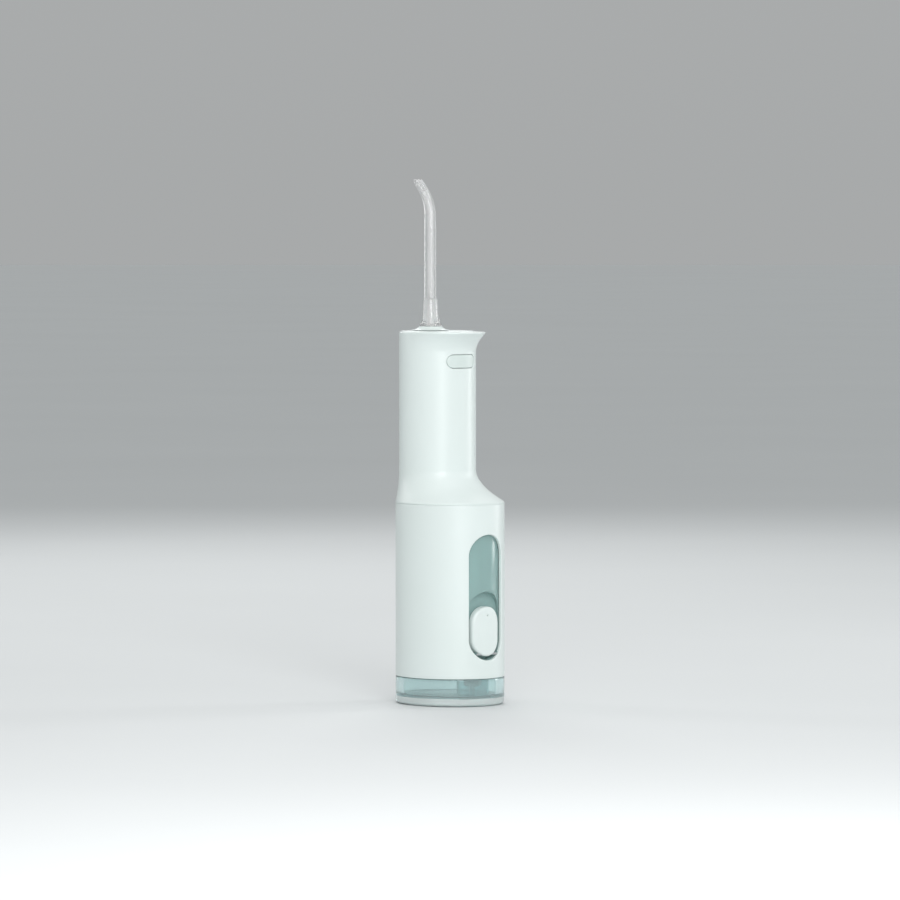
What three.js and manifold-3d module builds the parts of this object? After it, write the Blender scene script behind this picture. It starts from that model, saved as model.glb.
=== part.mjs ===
// A cordless water flosser: a clear water tank in a white sleeve, and a slim handle that stands on it
// and holds the battery, motor, gears, piston pump and nozzle.
// Millimetres, +Z up, origin at the centre of the tank's underside. -Y is the front, with the buttons.
import * as THREE from "three";
import { mergeVertices } from "three/addons/utils/BufferGeometryUtils.js";
import Module from "manifold-3d";

const wasm = await Module();
wasm.setup();

// ---------------------------------------------------------------- driving dimensions
const GAP = 0.3; // between neighbouring pieces
const ROUND = 24; // sides of a small round piece
const OUTLINE_SIDES = 48; // sides of the tank's and the handle's outline

// Outlines are ellipses: half width in X, half depth in Y, and the centre's Y.
const TANK_OUTLINE = { rx: 26.8, ry: 30.2, cy: 0 };
const GRIP_OUTLINE = { rx: 19.8, ry: 20.4, cy: -9.8 };

const SLEEVE_WALL = 1.6;
const TANK_WALL = 2.0;
const TANK_FLOOR = 4.4;
const TANK_TOP = 103.9;
const SLEEVE_BOTTOM = 14.2;
const SLEEVE_TOP = 104.2;
const FOOT_CHAMFER = 1.6;

const HOUSING_WALL = 2.2;
const HOUSING_BOTTOM = 104.5;
const SHOULDER_TOP = 121.4;
const LIP_START = 183.8;
const LIP_EDGE = 192.9;
const LIP_REACH = 7.5;
const HOUSING_TOP = 193.4;
const TOP_PLATE = 2.5;

const PLUG_BOTTOM = 91.5;
const PLUG_TOP = 105.2;
const PLUG_WALL = 1.8;
const PLUG_FLOOR = 2.2;
const PLUG_CLEARANCE = 0.5; // between the plug and the tank's inner wall
const SEAL_GROOVE = { low: 96.0, high: 98.4, depth: 1.0 };

// Window and filler: upright stadiums on the back, given by half width and by lowest and highest Z.
const WINDOW = { half: 11.0, low: 23.6, high: 88.7 };
const POCKET = { half: 10.7, low: 23.9, high: 59.1 };
const CAP = { half: 8.9, low: 25.7, high: 51.5 };
const POCKET_FLOOR_Y = 24.2;
const POCKET_BOSS_Y = 22.0;
const CAP_INNER_Y = 24.9;
const FILLER_RADIUS = 8.0;
const FILLER_PLUG_RADIUS = 7.2;
const FILLER_Z = 38.6;
const VENT_Z = 46.8;
const VENT_RADIUS = 0.5;
const HINGE_Y = 28.2;
const HINGE_Z = 26.9;
const HINGE_PIN_RADIUS = 0.6;
const HINGE_PIN_LENGTH = 14.0;
const LUG = { inner: 6.1, outer: 9, below: 1.8, above: 0.9 };

const SCREW_RADIUS = 0.95;
const SCREW_HOLE_RADIUS = 1.3;
const SCREW_HEAD_RADIUS = 2.0;
const SCREW_LENGTH = 5.0;
const SCREW_PLACES = [
  [-14, -12],
  [14, -12],
  [-14, 6],
  [14, 6],
];

const SUCTION_Y = 17.2;
const SUMP_RADIUS = 7.2;
const SUMP_Z = 2.2;
const WELL_RADIUS = 8.0;
const WELL_TOP = 13.4;
const STRAINER_RADIUS = 4.4;
const SUCTION_TUBE_LOW = 13.0;
const SUCTION_TUBE_RADIUS = 2.3;
const SUCTION_BORE_RADIUS = 1.3;

const NOZZLE_Y = -15.3;
const NOZZLE_STEM_RADIUS = 3.4;
const NOZZLE_BORE_RADIUS = 1.1;
const NOZZLE_THROAT_RADIUS = 6.6; // hole in the top plate
const NOZZLE_STEM_LOW = 171;
const NOZZLE_BASE_Z = 196.0;
const NOZZLE_JOINT_Z = 210.0;
const NOZZLE_BEND_Z = 252.5;
const NOZZLE_BEND_RADIUS = 20;
const NOZZLE_BEND_DEG = 40;
const NOZZLE_TIP_LENGTH = 9;
const NOZZLE_TUBE_RADIUS = 3.1;
const NOZZLE_TOP_Z = 272;
const SWIVEL = { low: 186, barrel: 6.2, flange: 9.6 };
const SEAT = { low: 165, high: 174.6, radius: 6.4, floor: 169.4, seal_low: 173.0, port_z: 167.2 };

const POWER_BUTTON = { radius: 6.2, z: 165 };
const MODE_BUTTON = { radius: 4.6, z: 148 };
const LIGHTS_Z = 135;
const LIGHT_PITCH = 4.4;
const LIGHT_HOLE_RADIUS = 1.0;
const LIGHT_PEG_RADIUS = 0.7;
const RELEASE = { half: 9.3, low: 174.5, high: 181.3 };
const RELEASE_TRAVEL = 1.6;
const RELEASE_RIM = 1.0; // keeps the button behind the wall
const RELEASE_DEPTH = HOUSING_WALL + 1.4;
const BUTTON_DEPTH = HOUSING_WALL + 1.2;
const BUTTON_TAB = { reach: 1.5, half: 2.6 };
const LATCH_Z = 177;
const LATCH_THICK = 1.8;

const PORT = { z: 113.6, half_x: 4.8, half_z: 1.7 };
const FLAP = { half_x: 6.4, half_z: 2.9 };
const FLAP_DEPTH = 1.0;

const MOTOR = { x: -7.4, y: -10.8, radius: 9, low: 112.0, high: 140 };
const BATTERY = { x: 9.8, y: -8.8, radius: 7, low: 115, high: 165 };
const BOARD = { half_x: 9.2, front: -23.4, thick: 1.2, low: 117.2, high: 172 };

// Reduction gears: the pinion is on the motor's shaft, the drive gear turns the crank.
const GEAR_MODULE = 0.6;
const PINION_TEETH = 9;
const GEAR_TEETH = 27;
const GEAR_BACKLASH = 0.22;
const GEAR_LOW = 105.2;
const GEAR_THICK = 3.0;
const PINION_RADIUS = (GEAR_MODULE * PINION_TEETH) / 2;
const GEAR_RADIUS = (GEAR_MODULE * GEAR_TEETH) / 2;
const GEAR_DISTANCE = PINION_RADIUS + GEAR_RADIUS + GEAR_BACKLASH;
const GEAR_Y = MOTOR.y + Math.sqrt(GEAR_DISTANCE ** 2 - MOTOR.x ** 2);

const CRANK_RADIUS = 1.5;
const ROD_LENGTH = 10.0;
const PUMP_Z = 100.6;
const PUMP_BORE_RADIUS = 4.6;
const PUMP_OUTER_RADIUS = 5.9;
const PISTON_RADIUS = 4.3;
const PUMP_START_Y = 6.6;
const PUMP_BORE_END_Y = 15.0;
const PUMP_END_Y = 22.4;
const VALVE_BALL_RADIUS = 1.5;
const VALVE_LOW = 96.4;
const PISTON_LENGTH = 10.4;
const PISTON_WALL = 1.0;
const ROD_RADIUS = 2.3;
const CRANK_PIN_RADIUS = 1.1;
const CRANK_DISC_RADIUS = 3.2;
const AXLE_RADIUS = 1.0;

// ---------------------------------------------------------------- solids from three.js geometry
function toSolid(geometry) {
  const bare = geometry.clone();
  bare.deleteAttribute("normal");
  bare.deleteAttribute("uv");
  const merged = mergeVertices(bare, 1e-4);
  return new wasm.Manifold(
    new wasm.Mesh({
      numProp: 3,
      vertProperties: merged.attributes.position.array,
      triVerts: new Uint32Array(merged.index.array),
    }),
  );
}

function toGeometry(solid) {
  const mesh = solid.getMesh();
  const geometry = new THREE.BufferGeometry();
  const position = new THREE.BufferAttribute(mesh.vertProperties, 3);
  geometry.setAttribute("position", position);
  geometry.setIndex(new THREE.BufferAttribute(mesh.triVerts, 1));
  geometry.computeVertexNormals();
  return geometry;
}

function join(first, ...others) {
  return others.reduce((sum, solid) => sum.add(solid), first);
}

function cut(first, ...others) {
  return others.reduce((rest, solid) => rest.subtract(solid), first);
}

function box(x0, x1, y0, y1, z0, z1) {
  const geometry = new THREE.BoxGeometry(x1 - x0, y1 - y0, z1 - z0);
  geometry.translate((x0 + x1) / 2, (y0 + y1) / 2, (z0 + z1) / 2);
  return toSolid(geometry);
}

// An upright solid of revolution about (x, y) from [radius, z] pairs that start and end on the axis.
function turned(x, y, profile, sides = ROUND) {
  const points = profile.map(([radius, z]) => new THREE.Vector2(radius, z));
  const geometry = new THREE.LatheGeometry(points, sides);
  geometry.rotateX(Math.PI / 2);
  geometry.translate(x, y, 0);
  return toSolid(geometry);
}

function upright(x, y, radius, z0, z1, sides = ROUND) {
  return turned(x, y, [[0, z0], [radius, z0], [radius, z1], [0, z1]], sides);
}

function extrudedUp(shape, z0, z1, curveSegments = 16) {
  const options = { depth: z1 - z0, bevelEnabled: false, curveSegments };
  const geometry = new THREE.ExtrudeGeometry(shape, options);
  geometry.translate(0, 0, z0);
  return toSolid(geometry);
}

// A shape drawn in X and Z, extruded from y0 to y1.
function extrudedBack(shape, y0, y1, curveSegments = 10) {
  const options = { depth: y1 - y0, bevelEnabled: false, curveSegments };
  const geometry = new THREE.ExtrudeGeometry(shape, options);
  geometry.rotateX(Math.PI / 2);
  geometry.translate(0, y1, 0);
  return toSolid(geometry);
}

function circle(x, z, radius) {
  const shape = new THREE.Shape();
  shape.absarc(x, z, radius, 0, 2 * Math.PI, false);
  return shape;
}

function standingStadium({ half, low, high }, grow = 0) {
  const radius = half + grow;
  const shape = new THREE.Shape();
  shape.absarc(0, high + grow - radius, radius, 0, Math.PI, false);
  shape.absarc(0, low - grow + radius, radius, Math.PI, 2 * Math.PI, false);
  shape.closePath();
  return shape;
}

function lyingStadium(z, halfX, halfZ, grow = 0) {
  const radius = halfZ + grow;
  const reach = halfX + grow - radius;
  const shape = new THREE.Shape();
  shape.absarc(reach, z, radius, -Math.PI / 2, Math.PI / 2, false);
  shape.absarc(-reach, z, radius, Math.PI / 2, (3 * Math.PI) / 2, false);
  shape.closePath();
  return shape;
}

function lengthwise(x, z, radius, y0, y1, curveSegments = 12) {
  return extrudedBack(circle(x, z, radius), y0, y1, curveSegments);
}

// A round bar along X from x0 to x1.
function acrossX(radius, x0, x1, y, z, sides) {
  const geometry = new THREE.CylinderGeometry(radius, radius, x1 - x0, sides);
  geometry.rotateZ(Math.PI / 2);
  geometry.translate((x0 + x1) / 2, y, z);
  return toSolid(geometry);
}

// A tube or wire along a smooth curve through points.
function along(points, radius, sides, steps) {
  const shape = new THREE.Shape();
  for (let i = 0; i < sides; i++) {
    const angle = (2 * Math.PI * i) / sides;
    const x = radius * Math.cos(angle);
    const y = radius * Math.sin(angle);
    if (i === 0) shape.moveTo(x, y);
    else shape.lineTo(x, y);
  }
  shape.closePath();
  const extrudePath = new THREE.CatmullRomCurve3(points.map((p) => new THREE.Vector3(...p)));
  return toSolid(new THREE.ExtrudeGeometry(shape, { steps, extrudePath, bevelEnabled: false }));
}

// A closed solid through a stack of rings of equally many points, lowest first.
function lofted(rings) {
  const sides = rings[0].length;
  const position = rings.flat(2);
  const index = [];
  for (let level = 0; level + 1 < rings.length; level++) {
    for (let i = 0; i < sides; i++) {
      const a = level * sides + i;
      const b = level * sides + ((i + 1) % sides);
      index.push(a, b, b + sides, a, b + sides, a + sides);
    }
  }
  const top = (rings.length - 1) * sides;
  for (let i = 1; i + 1 < sides; i++) {
    index.push(0, i + 1, i);
    index.push(top, top + i, top + i + 1);
  }
  const geometry = new THREE.BufferGeometry();
  geometry.setAttribute("position", new THREE.Float32BufferAttribute(position, 3));
  geometry.setIndex(index);
  return toSolid(geometry);
}

// One ring of the body's outline, pulled in by inset and pushed out by lip towards the back.
function outlineRing({ rx, ry, cy }, z, inset = 0, lip = 0) {
  const ring = [];
  for (let i = 0; i < OUTLINE_SIDES; i++) {
    const angle = (2 * Math.PI * i) / OUTLINE_SIDES;
    const reach = lip * Math.max(0, Math.sin(angle)) ** 1.5 - inset;
    ring.push([(rx + reach) * Math.cos(angle), cy + (ry + reach) * Math.sin(angle), z]);
  }
  return ring;
}

function outlineSolid(outline, inset, z0, z1) {
  return lofted([outlineRing(outline, z0, inset), outlineRing(outline, z1, inset)]);
}

function between(share) {
  const mix = (key) => GRIP_OUTLINE[key] + share * (TANK_OUTLINE[key] - GRIP_OUTLINE[key]);
  return { rx: mix("rx"), ry: mix("ry"), cy: mix("cy") };
}

// The handle's outside, pulled in by inset: the tank's outline below, a hollow-curved shoulder, the grip's
// outline above it, and the thumb lip that flares out of the back at the top.
function handleSolid(inset, top, withLip) {
  const rings = [outlineRing(TANK_OUTLINE, HOUSING_BOTTOM - (inset ? 1 : 0), inset)];
  for (const depth of [1, 0.93, 0.8, 0.65, 0.5, 0.35, 0.2, 0]) {
    const z = SHOULDER_TOP - depth * (SHOULDER_TOP - HOUSING_BOTTOM);
    if (depth < 1 || inset) rings.push(outlineRing(between(depth ** 2), z, inset));
  }
  if (withLip) {
    for (const share of [0, 0.4, 0.7, 0.9, 1]) {
      const z = LIP_START + share * (LIP_EDGE - LIP_START);
      rings.push(outlineRing(GRIP_OUTLINE, z, inset, LIP_REACH * share ** 2));
    }
  }
  rings.push(outlineRing(GRIP_OUTLINE, top, inset, withLip ? LIP_REACH - 0.4 : 0));
  return lofted(rings);
}

// A coil spring along Y.
function springAlongY(x, z, radius, wire, y0, y1, turns) {
  const points = [];
  const stepsPerTurn = 8;
  for (let i = 0; i <= turns * stepsPerTurn; i++) {
    const angle = (2 * Math.PI * i) / stepsPerTurn;
    const y = y0 + ((y1 - y0) * i) / (turns * stepsPerTurn);
    points.push([x + radius * Math.cos(angle), y, z + radius * Math.sin(angle)]);
  }
  return along(points, wire, 5, turns * stepsPerTurn);
}

// ---------------------------------------------------------------- materials
const finish = (color, roughness, metalness = 0, opacity = 1) => ({
  color,
  roughness,
  metalness,
  opacity,
  transparent: opacity < 1,
});
const WHITE = finish(0xf0f6f4, 0.35);
const PILL = finish(0xe4ede9, 0.4);
const CLEAR = finish(0xc4dedd, 0.1, 0, 0.5);
const NOZZLE_CLEAR = finish(0xe6e8e4, 0.08, 0, 0.5);
const SILICONE = finish(0xd5dbd9, 0.7);
const GREY = finish(0x8d9698, 0.5);
const STEEL = finish(0xb8bcc0, 0.3, 1);
const BRASS = finish(0xb79a55, 0.35, 1);
const BOARD_GREEN = finish(0x1f6b4a, 0.5);
const CELL_BLUE = finish(0x3a6ea5, 0.45);
const ACETAL = finish(0xe9e6dc, 0.45);

const flosser = new THREE.Group();

function add(name, solid, material) {
  const mesh = new THREE.Mesh(toGeometry(solid), new THREE.MeshStandardMaterial(material));
  mesh.name = name;
  flosser.add(mesh);
}

// ---------------------------------------------------------------- water tank
const INNER_WALL = SLEEVE_WALL + GAP + TANK_WALL;

function tankVessel() {
  const foot = lofted([
    outlineRing(TANK_OUTLINE, 0, FOOT_CHAMFER),
    outlineRing(TANK_OUTLINE, FOOT_CHAMFER / 3, FOOT_CHAMFER / 3),
    outlineRing(TANK_OUTLINE, FOOT_CHAMFER),
    outlineRing(TANK_OUTLINE, SLEEVE_BOTTOM - GAP),
  ]);
  const upper = outlineSolid(TANK_OUTLINE, SLEEVE_WALL + GAP, SLEEVE_BOTTOM - 1, TANK_TOP);
  const cavity = outlineSolid(TANK_OUTLINE, INNER_WALL, TANK_FLOOR, TANK_TOP + 1);
  const shell = cut(join(foot, upper), cavity);
  const bossOutline = standingStadium(POCKET, 1.8);
  const boss = extrudedBack(bossOutline, POCKET_BOSS_Y, TANK_OUTLINE.ry).intersect(
    outlineSolid(TANK_OUTLINE, SLEEVE_WALL + GAP, SLEEVE_BOTTOM, TANK_TOP),
  );
  const well = cut(
    upright(0, SUCTION_Y, WELL_RADIUS, TANK_FLOOR - 1, WELL_TOP, 36),
    upright(0, SUCTION_Y, SUMP_RADIUS, SUMP_Z, WELL_TOP + 1, 36),
    box(-3, 3, 0, SUCTION_Y, TANK_FLOOR, WELL_TOP + 1),
  );
  const sump = upright(0, SUCTION_Y, SUMP_RADIUS, SUMP_Z, TANK_FLOOR + 1, 36);
  const pocket = extrudedBack(standingStadium(POCKET), POCKET_FLOOR_Y, TANK_OUTLINE.ry + 1);
  const filler = lengthwise(0, FILLER_Z, FILLER_RADIUS, POCKET_BOSS_Y - 3, TANK_OUTLINE.ry);
  const halfPin = HINGE_PIN_LENGTH / 2 + GAP;
  const pinHole = acrossX(HINGE_PIN_RADIUS + GAP, -halfPin, halfPin, HINGE_Y, HINGE_Z, 12);
  const lugBar = box(
    -LUG.outer,
    LUG.outer,
    POCKET_FLOOR_Y - 1,
    HINGE_Y - 0.2,
    HINGE_Z - LUG.below,
    HINGE_Z + LUG.above,
  );
  const betweenLugs = box(-LUG.inner, LUG.inner, 0, 40, HINGE_Z - 5, HINGE_Z + 5);
  const lugs = cut(lugBar.intersect(pocket), betweenLugs);
  const body = join(cut(join(shell, boss, well), sump, pocket, filler), lugs);
  return cut(body, pinHole);
}

function tankSleeve() {
  const shell = cut(
    outlineSolid(TANK_OUTLINE, 0, SLEEVE_BOTTOM, SLEEVE_TOP),
    outlineSolid(TANK_OUTLINE, SLEEVE_WALL, SLEEVE_BOTTOM - 1, SLEEVE_TOP + 1),
  );
  return cut(shell, extrudedBack(standingStadium(WINDOW), 10, TANK_OUTLINE.ry + 1, 14));
}

function capPin() {
  const half = HINGE_PIN_LENGTH / 2;
  return acrossX(HINGE_PIN_RADIUS, -half, half, HINGE_Y, HINGE_Z, 12);
}

add("tank_vessel", tankVessel(), CLEAR);
add("tank_sleeve", tankSleeve(), WHITE);
add("cap_hinge_pin", capPin(), STEEL);

// ---------------------------------------------------------------- filler cap
function fillerCap() {
  const vent = lengthwise(0, VENT_Z, VENT_RADIUS, CAP_INNER_Y - 1, TANK_OUTLINE.ry + 1, 6);
  const bore = acrossX(HINGE_PIN_RADIUS + GAP, -12, 12, HINGE_Y, HINGE_Z, 12);
  const plate = extrudedBack(standingStadium(CAP), CAP_INNER_Y, TANK_OUTLINE.ry + 1, 14).intersect(
    outlineSolid(TANK_OUTLINE, 0, CAP.low - 1, CAP.high + 1),
  );
  const edge = box(-10, 10, HINGE_Y + 2.3, TANK_OUTLINE.ry + 1, CAP.low - 1, CAP.low + 0.5);
  return cut(plate, bore, vent, edge);
}

function capSeal() {
  const ring = cut(
    lengthwise(0, FILLER_Z, FILLER_PLUG_RADIUS, 22.4, CAP_INNER_Y - GAP),
    lengthwise(0, FILLER_Z, FILLER_PLUG_RADIUS - 1.4, 22, CAP_INNER_Y - GAP - 0.8),
  );
  return cut(ring, lengthwise(0, 44.2, VENT_RADIUS, 22, 26, 6));
}

add("filler_cap", fillerCap(), WHITE);
add("cap_seal", capSeal(), SILICONE);

// ---------------------------------------------------------------- handle housing
function handleHousing() {
  const outside = handleSolid(0, HOUSING_TOP, true);
  const inside = handleSolid(HOUSING_WALL, HOUSING_TOP - TOP_PLATE, false);
  const releaseZ = (RELEASE.low + RELEASE.high) / 2;
  const releaseHalfZ = (RELEASE.high - RELEASE.low) / 2;
  const releaseShape = lyingStadium(releaseZ, RELEASE.half, releaseHalfZ, GAP);
  const front = TANK_OUTLINE.ry + 1;
  const flapShape = lyingStadium(PORT.z, FLAP.half_x, FLAP.half_z, GAP);
  const flapDepth = FLAP_DEPTH + 0.2;
  const flapPocket = cut(extrudedBack(flapShape, -front, -20), handleSolid(flapDepth, 130, false));
  const lights = [-1, 0, 1].map((i) => {
    return lengthwise(LIGHT_PITCH * i, LIGHTS_Z, LIGHT_HOLE_RADIUS, -front, -20, 8);
  });
  return cut(
    outside,
    inside,
    upright(0, NOZZLE_Y, NOZZLE_THROAT_RADIUS, HOUSING_TOP - 5, HOUSING_TOP + 1),
    extrudedBack(releaseShape, 0, 20),
    lengthwise(0, POWER_BUTTON.z, POWER_BUTTON.radius + GAP, -front, -20, 16),
    lengthwise(0, MODE_BUTTON.z, MODE_BUTTON.radius + GAP, -front, -20, 14),
    flapPocket,
    extrudedBack(lyingStadium(PORT.z, PORT.half_x, PORT.half_z), -front, -20),
    ...lights,
  );
}

// A piece of the grip's wall inside a shape drawn on the front or back, between two depths.
function wallPiece(shape, y0, y1, outerInset, innerInset) {
  const slab = extrudedBack(shape, y0, y1, 9);
  const outer = outlineSolid(GRIP_OUTLINE, outerInset, SHOULDER_TOP, LIP_START);
  const inner = outlineSolid(GRIP_OUTLINE, innerInset, SHOULDER_TOP - 1, LIP_START + 1);
  return cut(slab.intersect(outer), inner);
}

function pushButton({ radius, z }) {
  const cap = wallPiece(circle(0, z, radius), -40, -20, 0, BUTTON_DEPTH);
  const { half, reach } = BUTTON_TAB;
  const tabs = new THREE.Shape();
  tabs.moveTo(-half, z - radius - reach);
  tabs.lineTo(half, z - radius - reach);
  tabs.lineTo(half, z + radius + reach);
  tabs.lineTo(-half, z + radius + reach);
  tabs.closePath();
  return join(cap, wallPiece(tabs, -40, -20, HOUSING_WALL + GAP, BUTTON_DEPTH));
}

function releaseButton() {
  const z = (RELEASE.low + RELEASE.high) / 2;
  const halfZ = (RELEASE.high - RELEASE.low) / 2;
  const face = wallPiece(lyingStadium(z, RELEASE.half, halfZ), 0, 20, 0, RELEASE_DEPTH);
  const rim = lyingStadium(z, RELEASE.half, halfZ, RELEASE_RIM);
  return join(face, wallPiece(rim, 0, 20, HOUSING_WALL + GAP, RELEASE_DEPTH));
}

function latchPlate() {
  const halfX = 7;
  const plate = box(-halfX, halfX, -20.4, 12, LATCH_Z, LATCH_Z + LATCH_THICK).intersect(
    outlineSolid(GRIP_OUTLINE, RELEASE_DEPTH + GAP, LATCH_Z - 1, LATCH_Z + LATCH_THICK + 1),
  );
  const hole = NOZZLE_STEM_RADIUS + 0.35;
  const slot = join(
    upright(0, NOZZLE_Y, hole, LATCH_Z - 1, LATCH_Z + LATCH_THICK + 1),
    upright(0, NOZZLE_Y + RELEASE_TRAVEL, hole, LATCH_Z - 1, LATCH_Z + LATCH_THICK + 1),
  );
  const springTab = box(2.4, 7, 1.8, 3.2, 171, LATCH_Z + 0.5);
  return join(cut(plate, slot), springTab);
}

function portCover() {
  const shape = lyingStadium(PORT.z, FLAP.half_x, FLAP.half_z);
  const flap = extrudedBack(shape, -40, -20, 10)
    .intersect(handleSolid(0, 130, false))
    .subtract(handleSolid(FLAP_DEPTH, 130, false));
  const tongue = lyingStadium(PORT.z, PORT.half_x - 0.5, PORT.half_z - 0.5);
  return join(flap, extrudedBack(tongue, -TANK_OUTLINE.ry + 0.5, -27.9, 8));
}

add("handle_housing", handleHousing(), WHITE);
add("power_button", pushButton(POWER_BUTTON), PILL);
add("mode_button", pushButton(MODE_BUTTON), PILL);
add("release_button", releaseButton(), PILL);
add("latch_plate", latchPlate(), GREY);
add("release_spring", springAlongY(4.8, 173.4, 1.7, 0.25, -6.7, 1.2, 5), STEEL);
add("port_cover", portCover(), SILICONE);

// ---------------------------------------------------------------- tank plug and seals
function tankPlug() {
  const mouth = INNER_WALL + PLUG_CLEARANCE;
  const cup = cut(
    outlineSolid(TANK_OUTLINE, mouth, PLUG_BOTTOM, PLUG_TOP),
    outlineSolid(TANK_OUTLINE, mouth + PLUG_WALL, PLUG_BOTTOM + PLUG_FLOOR, PLUG_TOP + 1),
  );
  const groove = cut(
    outlineSolid(TANK_OUTLINE, 0, SEAL_GROOVE.low, SEAL_GROOVE.high),
    outlineSolid(TANK_OUTLINE, mouth + SEAL_GROOVE.depth, SEAL_GROOVE.low - 1, SEAL_GROOVE.high + 1),
  );
  const screwHoles = SCREW_PLACES.map(([x, y]) => {
    return upright(x, y, SCREW_HOLE_RADIUS, PLUG_BOTTOM - 1, SEAL_GROOVE.low);
  });
  return cut(
    cup,
    groove,
    upright(0, SUCTION_Y, 1.4, PLUG_BOTTOM - 1, PLUG_BOTTOM + PLUG_FLOOR + 1, 20),
    ...screwHoles,
  );
}

function plugSeal() {
  const mouth = INNER_WALL + PLUG_CLEARANCE;
  const squeeze = 0.15;
  const { low, high, depth } = SEAL_GROOVE;
  return cut(
    outlineSolid(TANK_OUTLINE, mouth - squeeze, low + GAP, high - GAP),
    outlineSolid(TANK_OUTLINE, mouth + depth - GAP, low - 1, high + 1),
  );
}

function plugScrew([x, y]) {
  const slot = box(x - 1.2, x + 1.2, y - 0.3, y + 0.3, PLUG_BOTTOM - 2, PLUG_BOTTOM - 0.8);
  return join(
    upright(x, y, SCREW_HEAD_RADIUS, PLUG_BOTTOM - 1.4, PLUG_BOTTOM - GAP, 20),
    upright(x, y, SCREW_RADIUS, PLUG_BOTTOM - 1, PLUG_BOTTOM + SCREW_LENGTH, 12),
  ).subtract(slot);
}

add("tank_plug", tankPlug(), GREY);
add("plug_seal", plugSeal(), SILICONE);
SCREW_PLACES.forEach((place, i) => add(`plug_screw_${i + 1}`, plugScrew(place), STEEL));

// ---------------------------------------------------------------- suction tube and strainer
function suctionTube() {
  return cut(
    upright(0, SUCTION_Y, SUCTION_TUBE_RADIUS, SUCTION_TUBE_LOW, PLUG_BOTTOM - GAP, 20),
    upright(0, SUCTION_Y, SUCTION_BORE_RADIUS, SUCTION_TUBE_LOW - 1, PLUG_BOTTOM + 1, 20),
  );
}

function strainer() {
  const slots = [0, 1, 2, 3].map((i) => {
    const angle = (Math.PI * i) / 4;
    const geometry = new THREE.BoxGeometry(2 * STRAINER_RADIUS - 1.2, 0.6, 1.6);
    geometry.rotateZ(angle);
    geometry.translate(0, SUCTION_Y, 9.6);
    return toSolid(geometry);
  });
  const body = turned(0, SUCTION_Y, [
    [0, 3.0],
    [1.5, 3.0],
    [1.8, 5.4],
    [1.5, 9.4],
    [STRAINER_RADIUS, 9.9],
    [STRAINER_RADIUS, 12.3],
    [STRAINER_RADIUS - 0.6, 12.7],
    [0, 12.7],
  ]);
  return cut(body, ...slots);
}

add("suction_tube", suctionTube(), NOZZLE_CLEAR);
add("strainer", strainer(), CLEAR);

// ---------------------------------------------------------------- nozzle, swivel ring and seat
function swivelRing() {
  const { low, barrel, flange } = SWIVEL;
  const outer = turned(0, NOZZLE_Y, [
    [0, low],
    [barrel, low],
    [barrel, HOUSING_TOP + GAP],
    [flange, HOUSING_TOP + GAP],
    [flange, HOUSING_TOP + GAP + 0.3],
    [flange - 2.0, HOUSING_TOP + 1.0],
    [flange - 3.2, NOZZLE_BASE_Z - GAP],
    [0, NOZZLE_BASE_Z - GAP],
  ], 40);
  return cut(outer, upright(0, NOZZLE_Y, NOZZLE_STEM_RADIUS + 0.4, low - 1, NOZZLE_BASE_Z + 1));
}

function nozzleBase() {
  const body = turned(0, NOZZLE_Y, [
    [0, NOZZLE_STEM_LOW],
    [NOZZLE_STEM_RADIUS - 0.6, NOZZLE_STEM_LOW],
    [NOZZLE_STEM_RADIUS, NOZZLE_STEM_LOW + 1],
    [NOZZLE_STEM_RADIUS, LATCH_Z - 0.6],
    [2.6, LATCH_Z - 0.4],
    [2.6, LATCH_Z + LATCH_THICK + 0.4],
    [NOZZLE_STEM_RADIUS, LATCH_Z + LATCH_THICK + 0.8],
    [NOZZLE_STEM_RADIUS, NOZZLE_BASE_Z],
    [5.7, NOZZLE_BASE_Z],
    [5.5, NOZZLE_BASE_Z + 0.9],
    [4.2, 201.4],
    [3.6, NOZZLE_JOINT_Z],
    [0, NOZZLE_JOINT_Z],
  ], 32);
  const bore = upright(0, NOZZLE_Y, NOZZLE_BORE_RADIUS, NOZZLE_STEM_LOW - 1, NOZZLE_JOINT_Z + 1, 16);
  return cut(body, bore);
}

function nozzlePath(from, beyond) {
  const bend = THREE.MathUtils.degToRad(NOZZLE_BEND_DEG);
  const points = [[0, NOZZLE_Y, from]];
  for (const share of [0.35, 0.7, 0.9]) {
    points.push([0, NOZZLE_Y, from + share * (NOZZLE_BEND_Z - from)]);
  }
  const bendSteps = 6;
  for (let i = 0; i <= bendSteps; i++) {
    const angle = (bend * i) / bendSteps;
    const y = NOZZLE_Y - NOZZLE_BEND_RADIUS * (1 - Math.cos(angle));
    points.push([0, y, NOZZLE_BEND_Z + NOZZLE_BEND_RADIUS * Math.sin(angle)]);
  }
  const [, y, z] = points[points.length - 1];
  for (const share of [0.5, 1]) {
    const run = share * NOZZLE_TIP_LENGTH + (share === 1 ? beyond : 0);
    points.push([0, y - run * Math.sin(bend), z + run * Math.cos(bend)]);
  }
  return points;
}

function nozzleTube() {
  const tube = along(nozzlePath(NOZZLE_JOINT_Z + GAP, 0), NOZZLE_TUBE_RADIUS, 16, 20);
  const bore = along(nozzlePath(NOZZLE_JOINT_Z - 1, 2), NOZZLE_BORE_RADIUS, 8, 20);
  return cut(tube, bore, box(-10, 10, -60, 0, NOZZLE_TOP_Z, NOZZLE_TOP_Z + 20));
}

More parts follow.
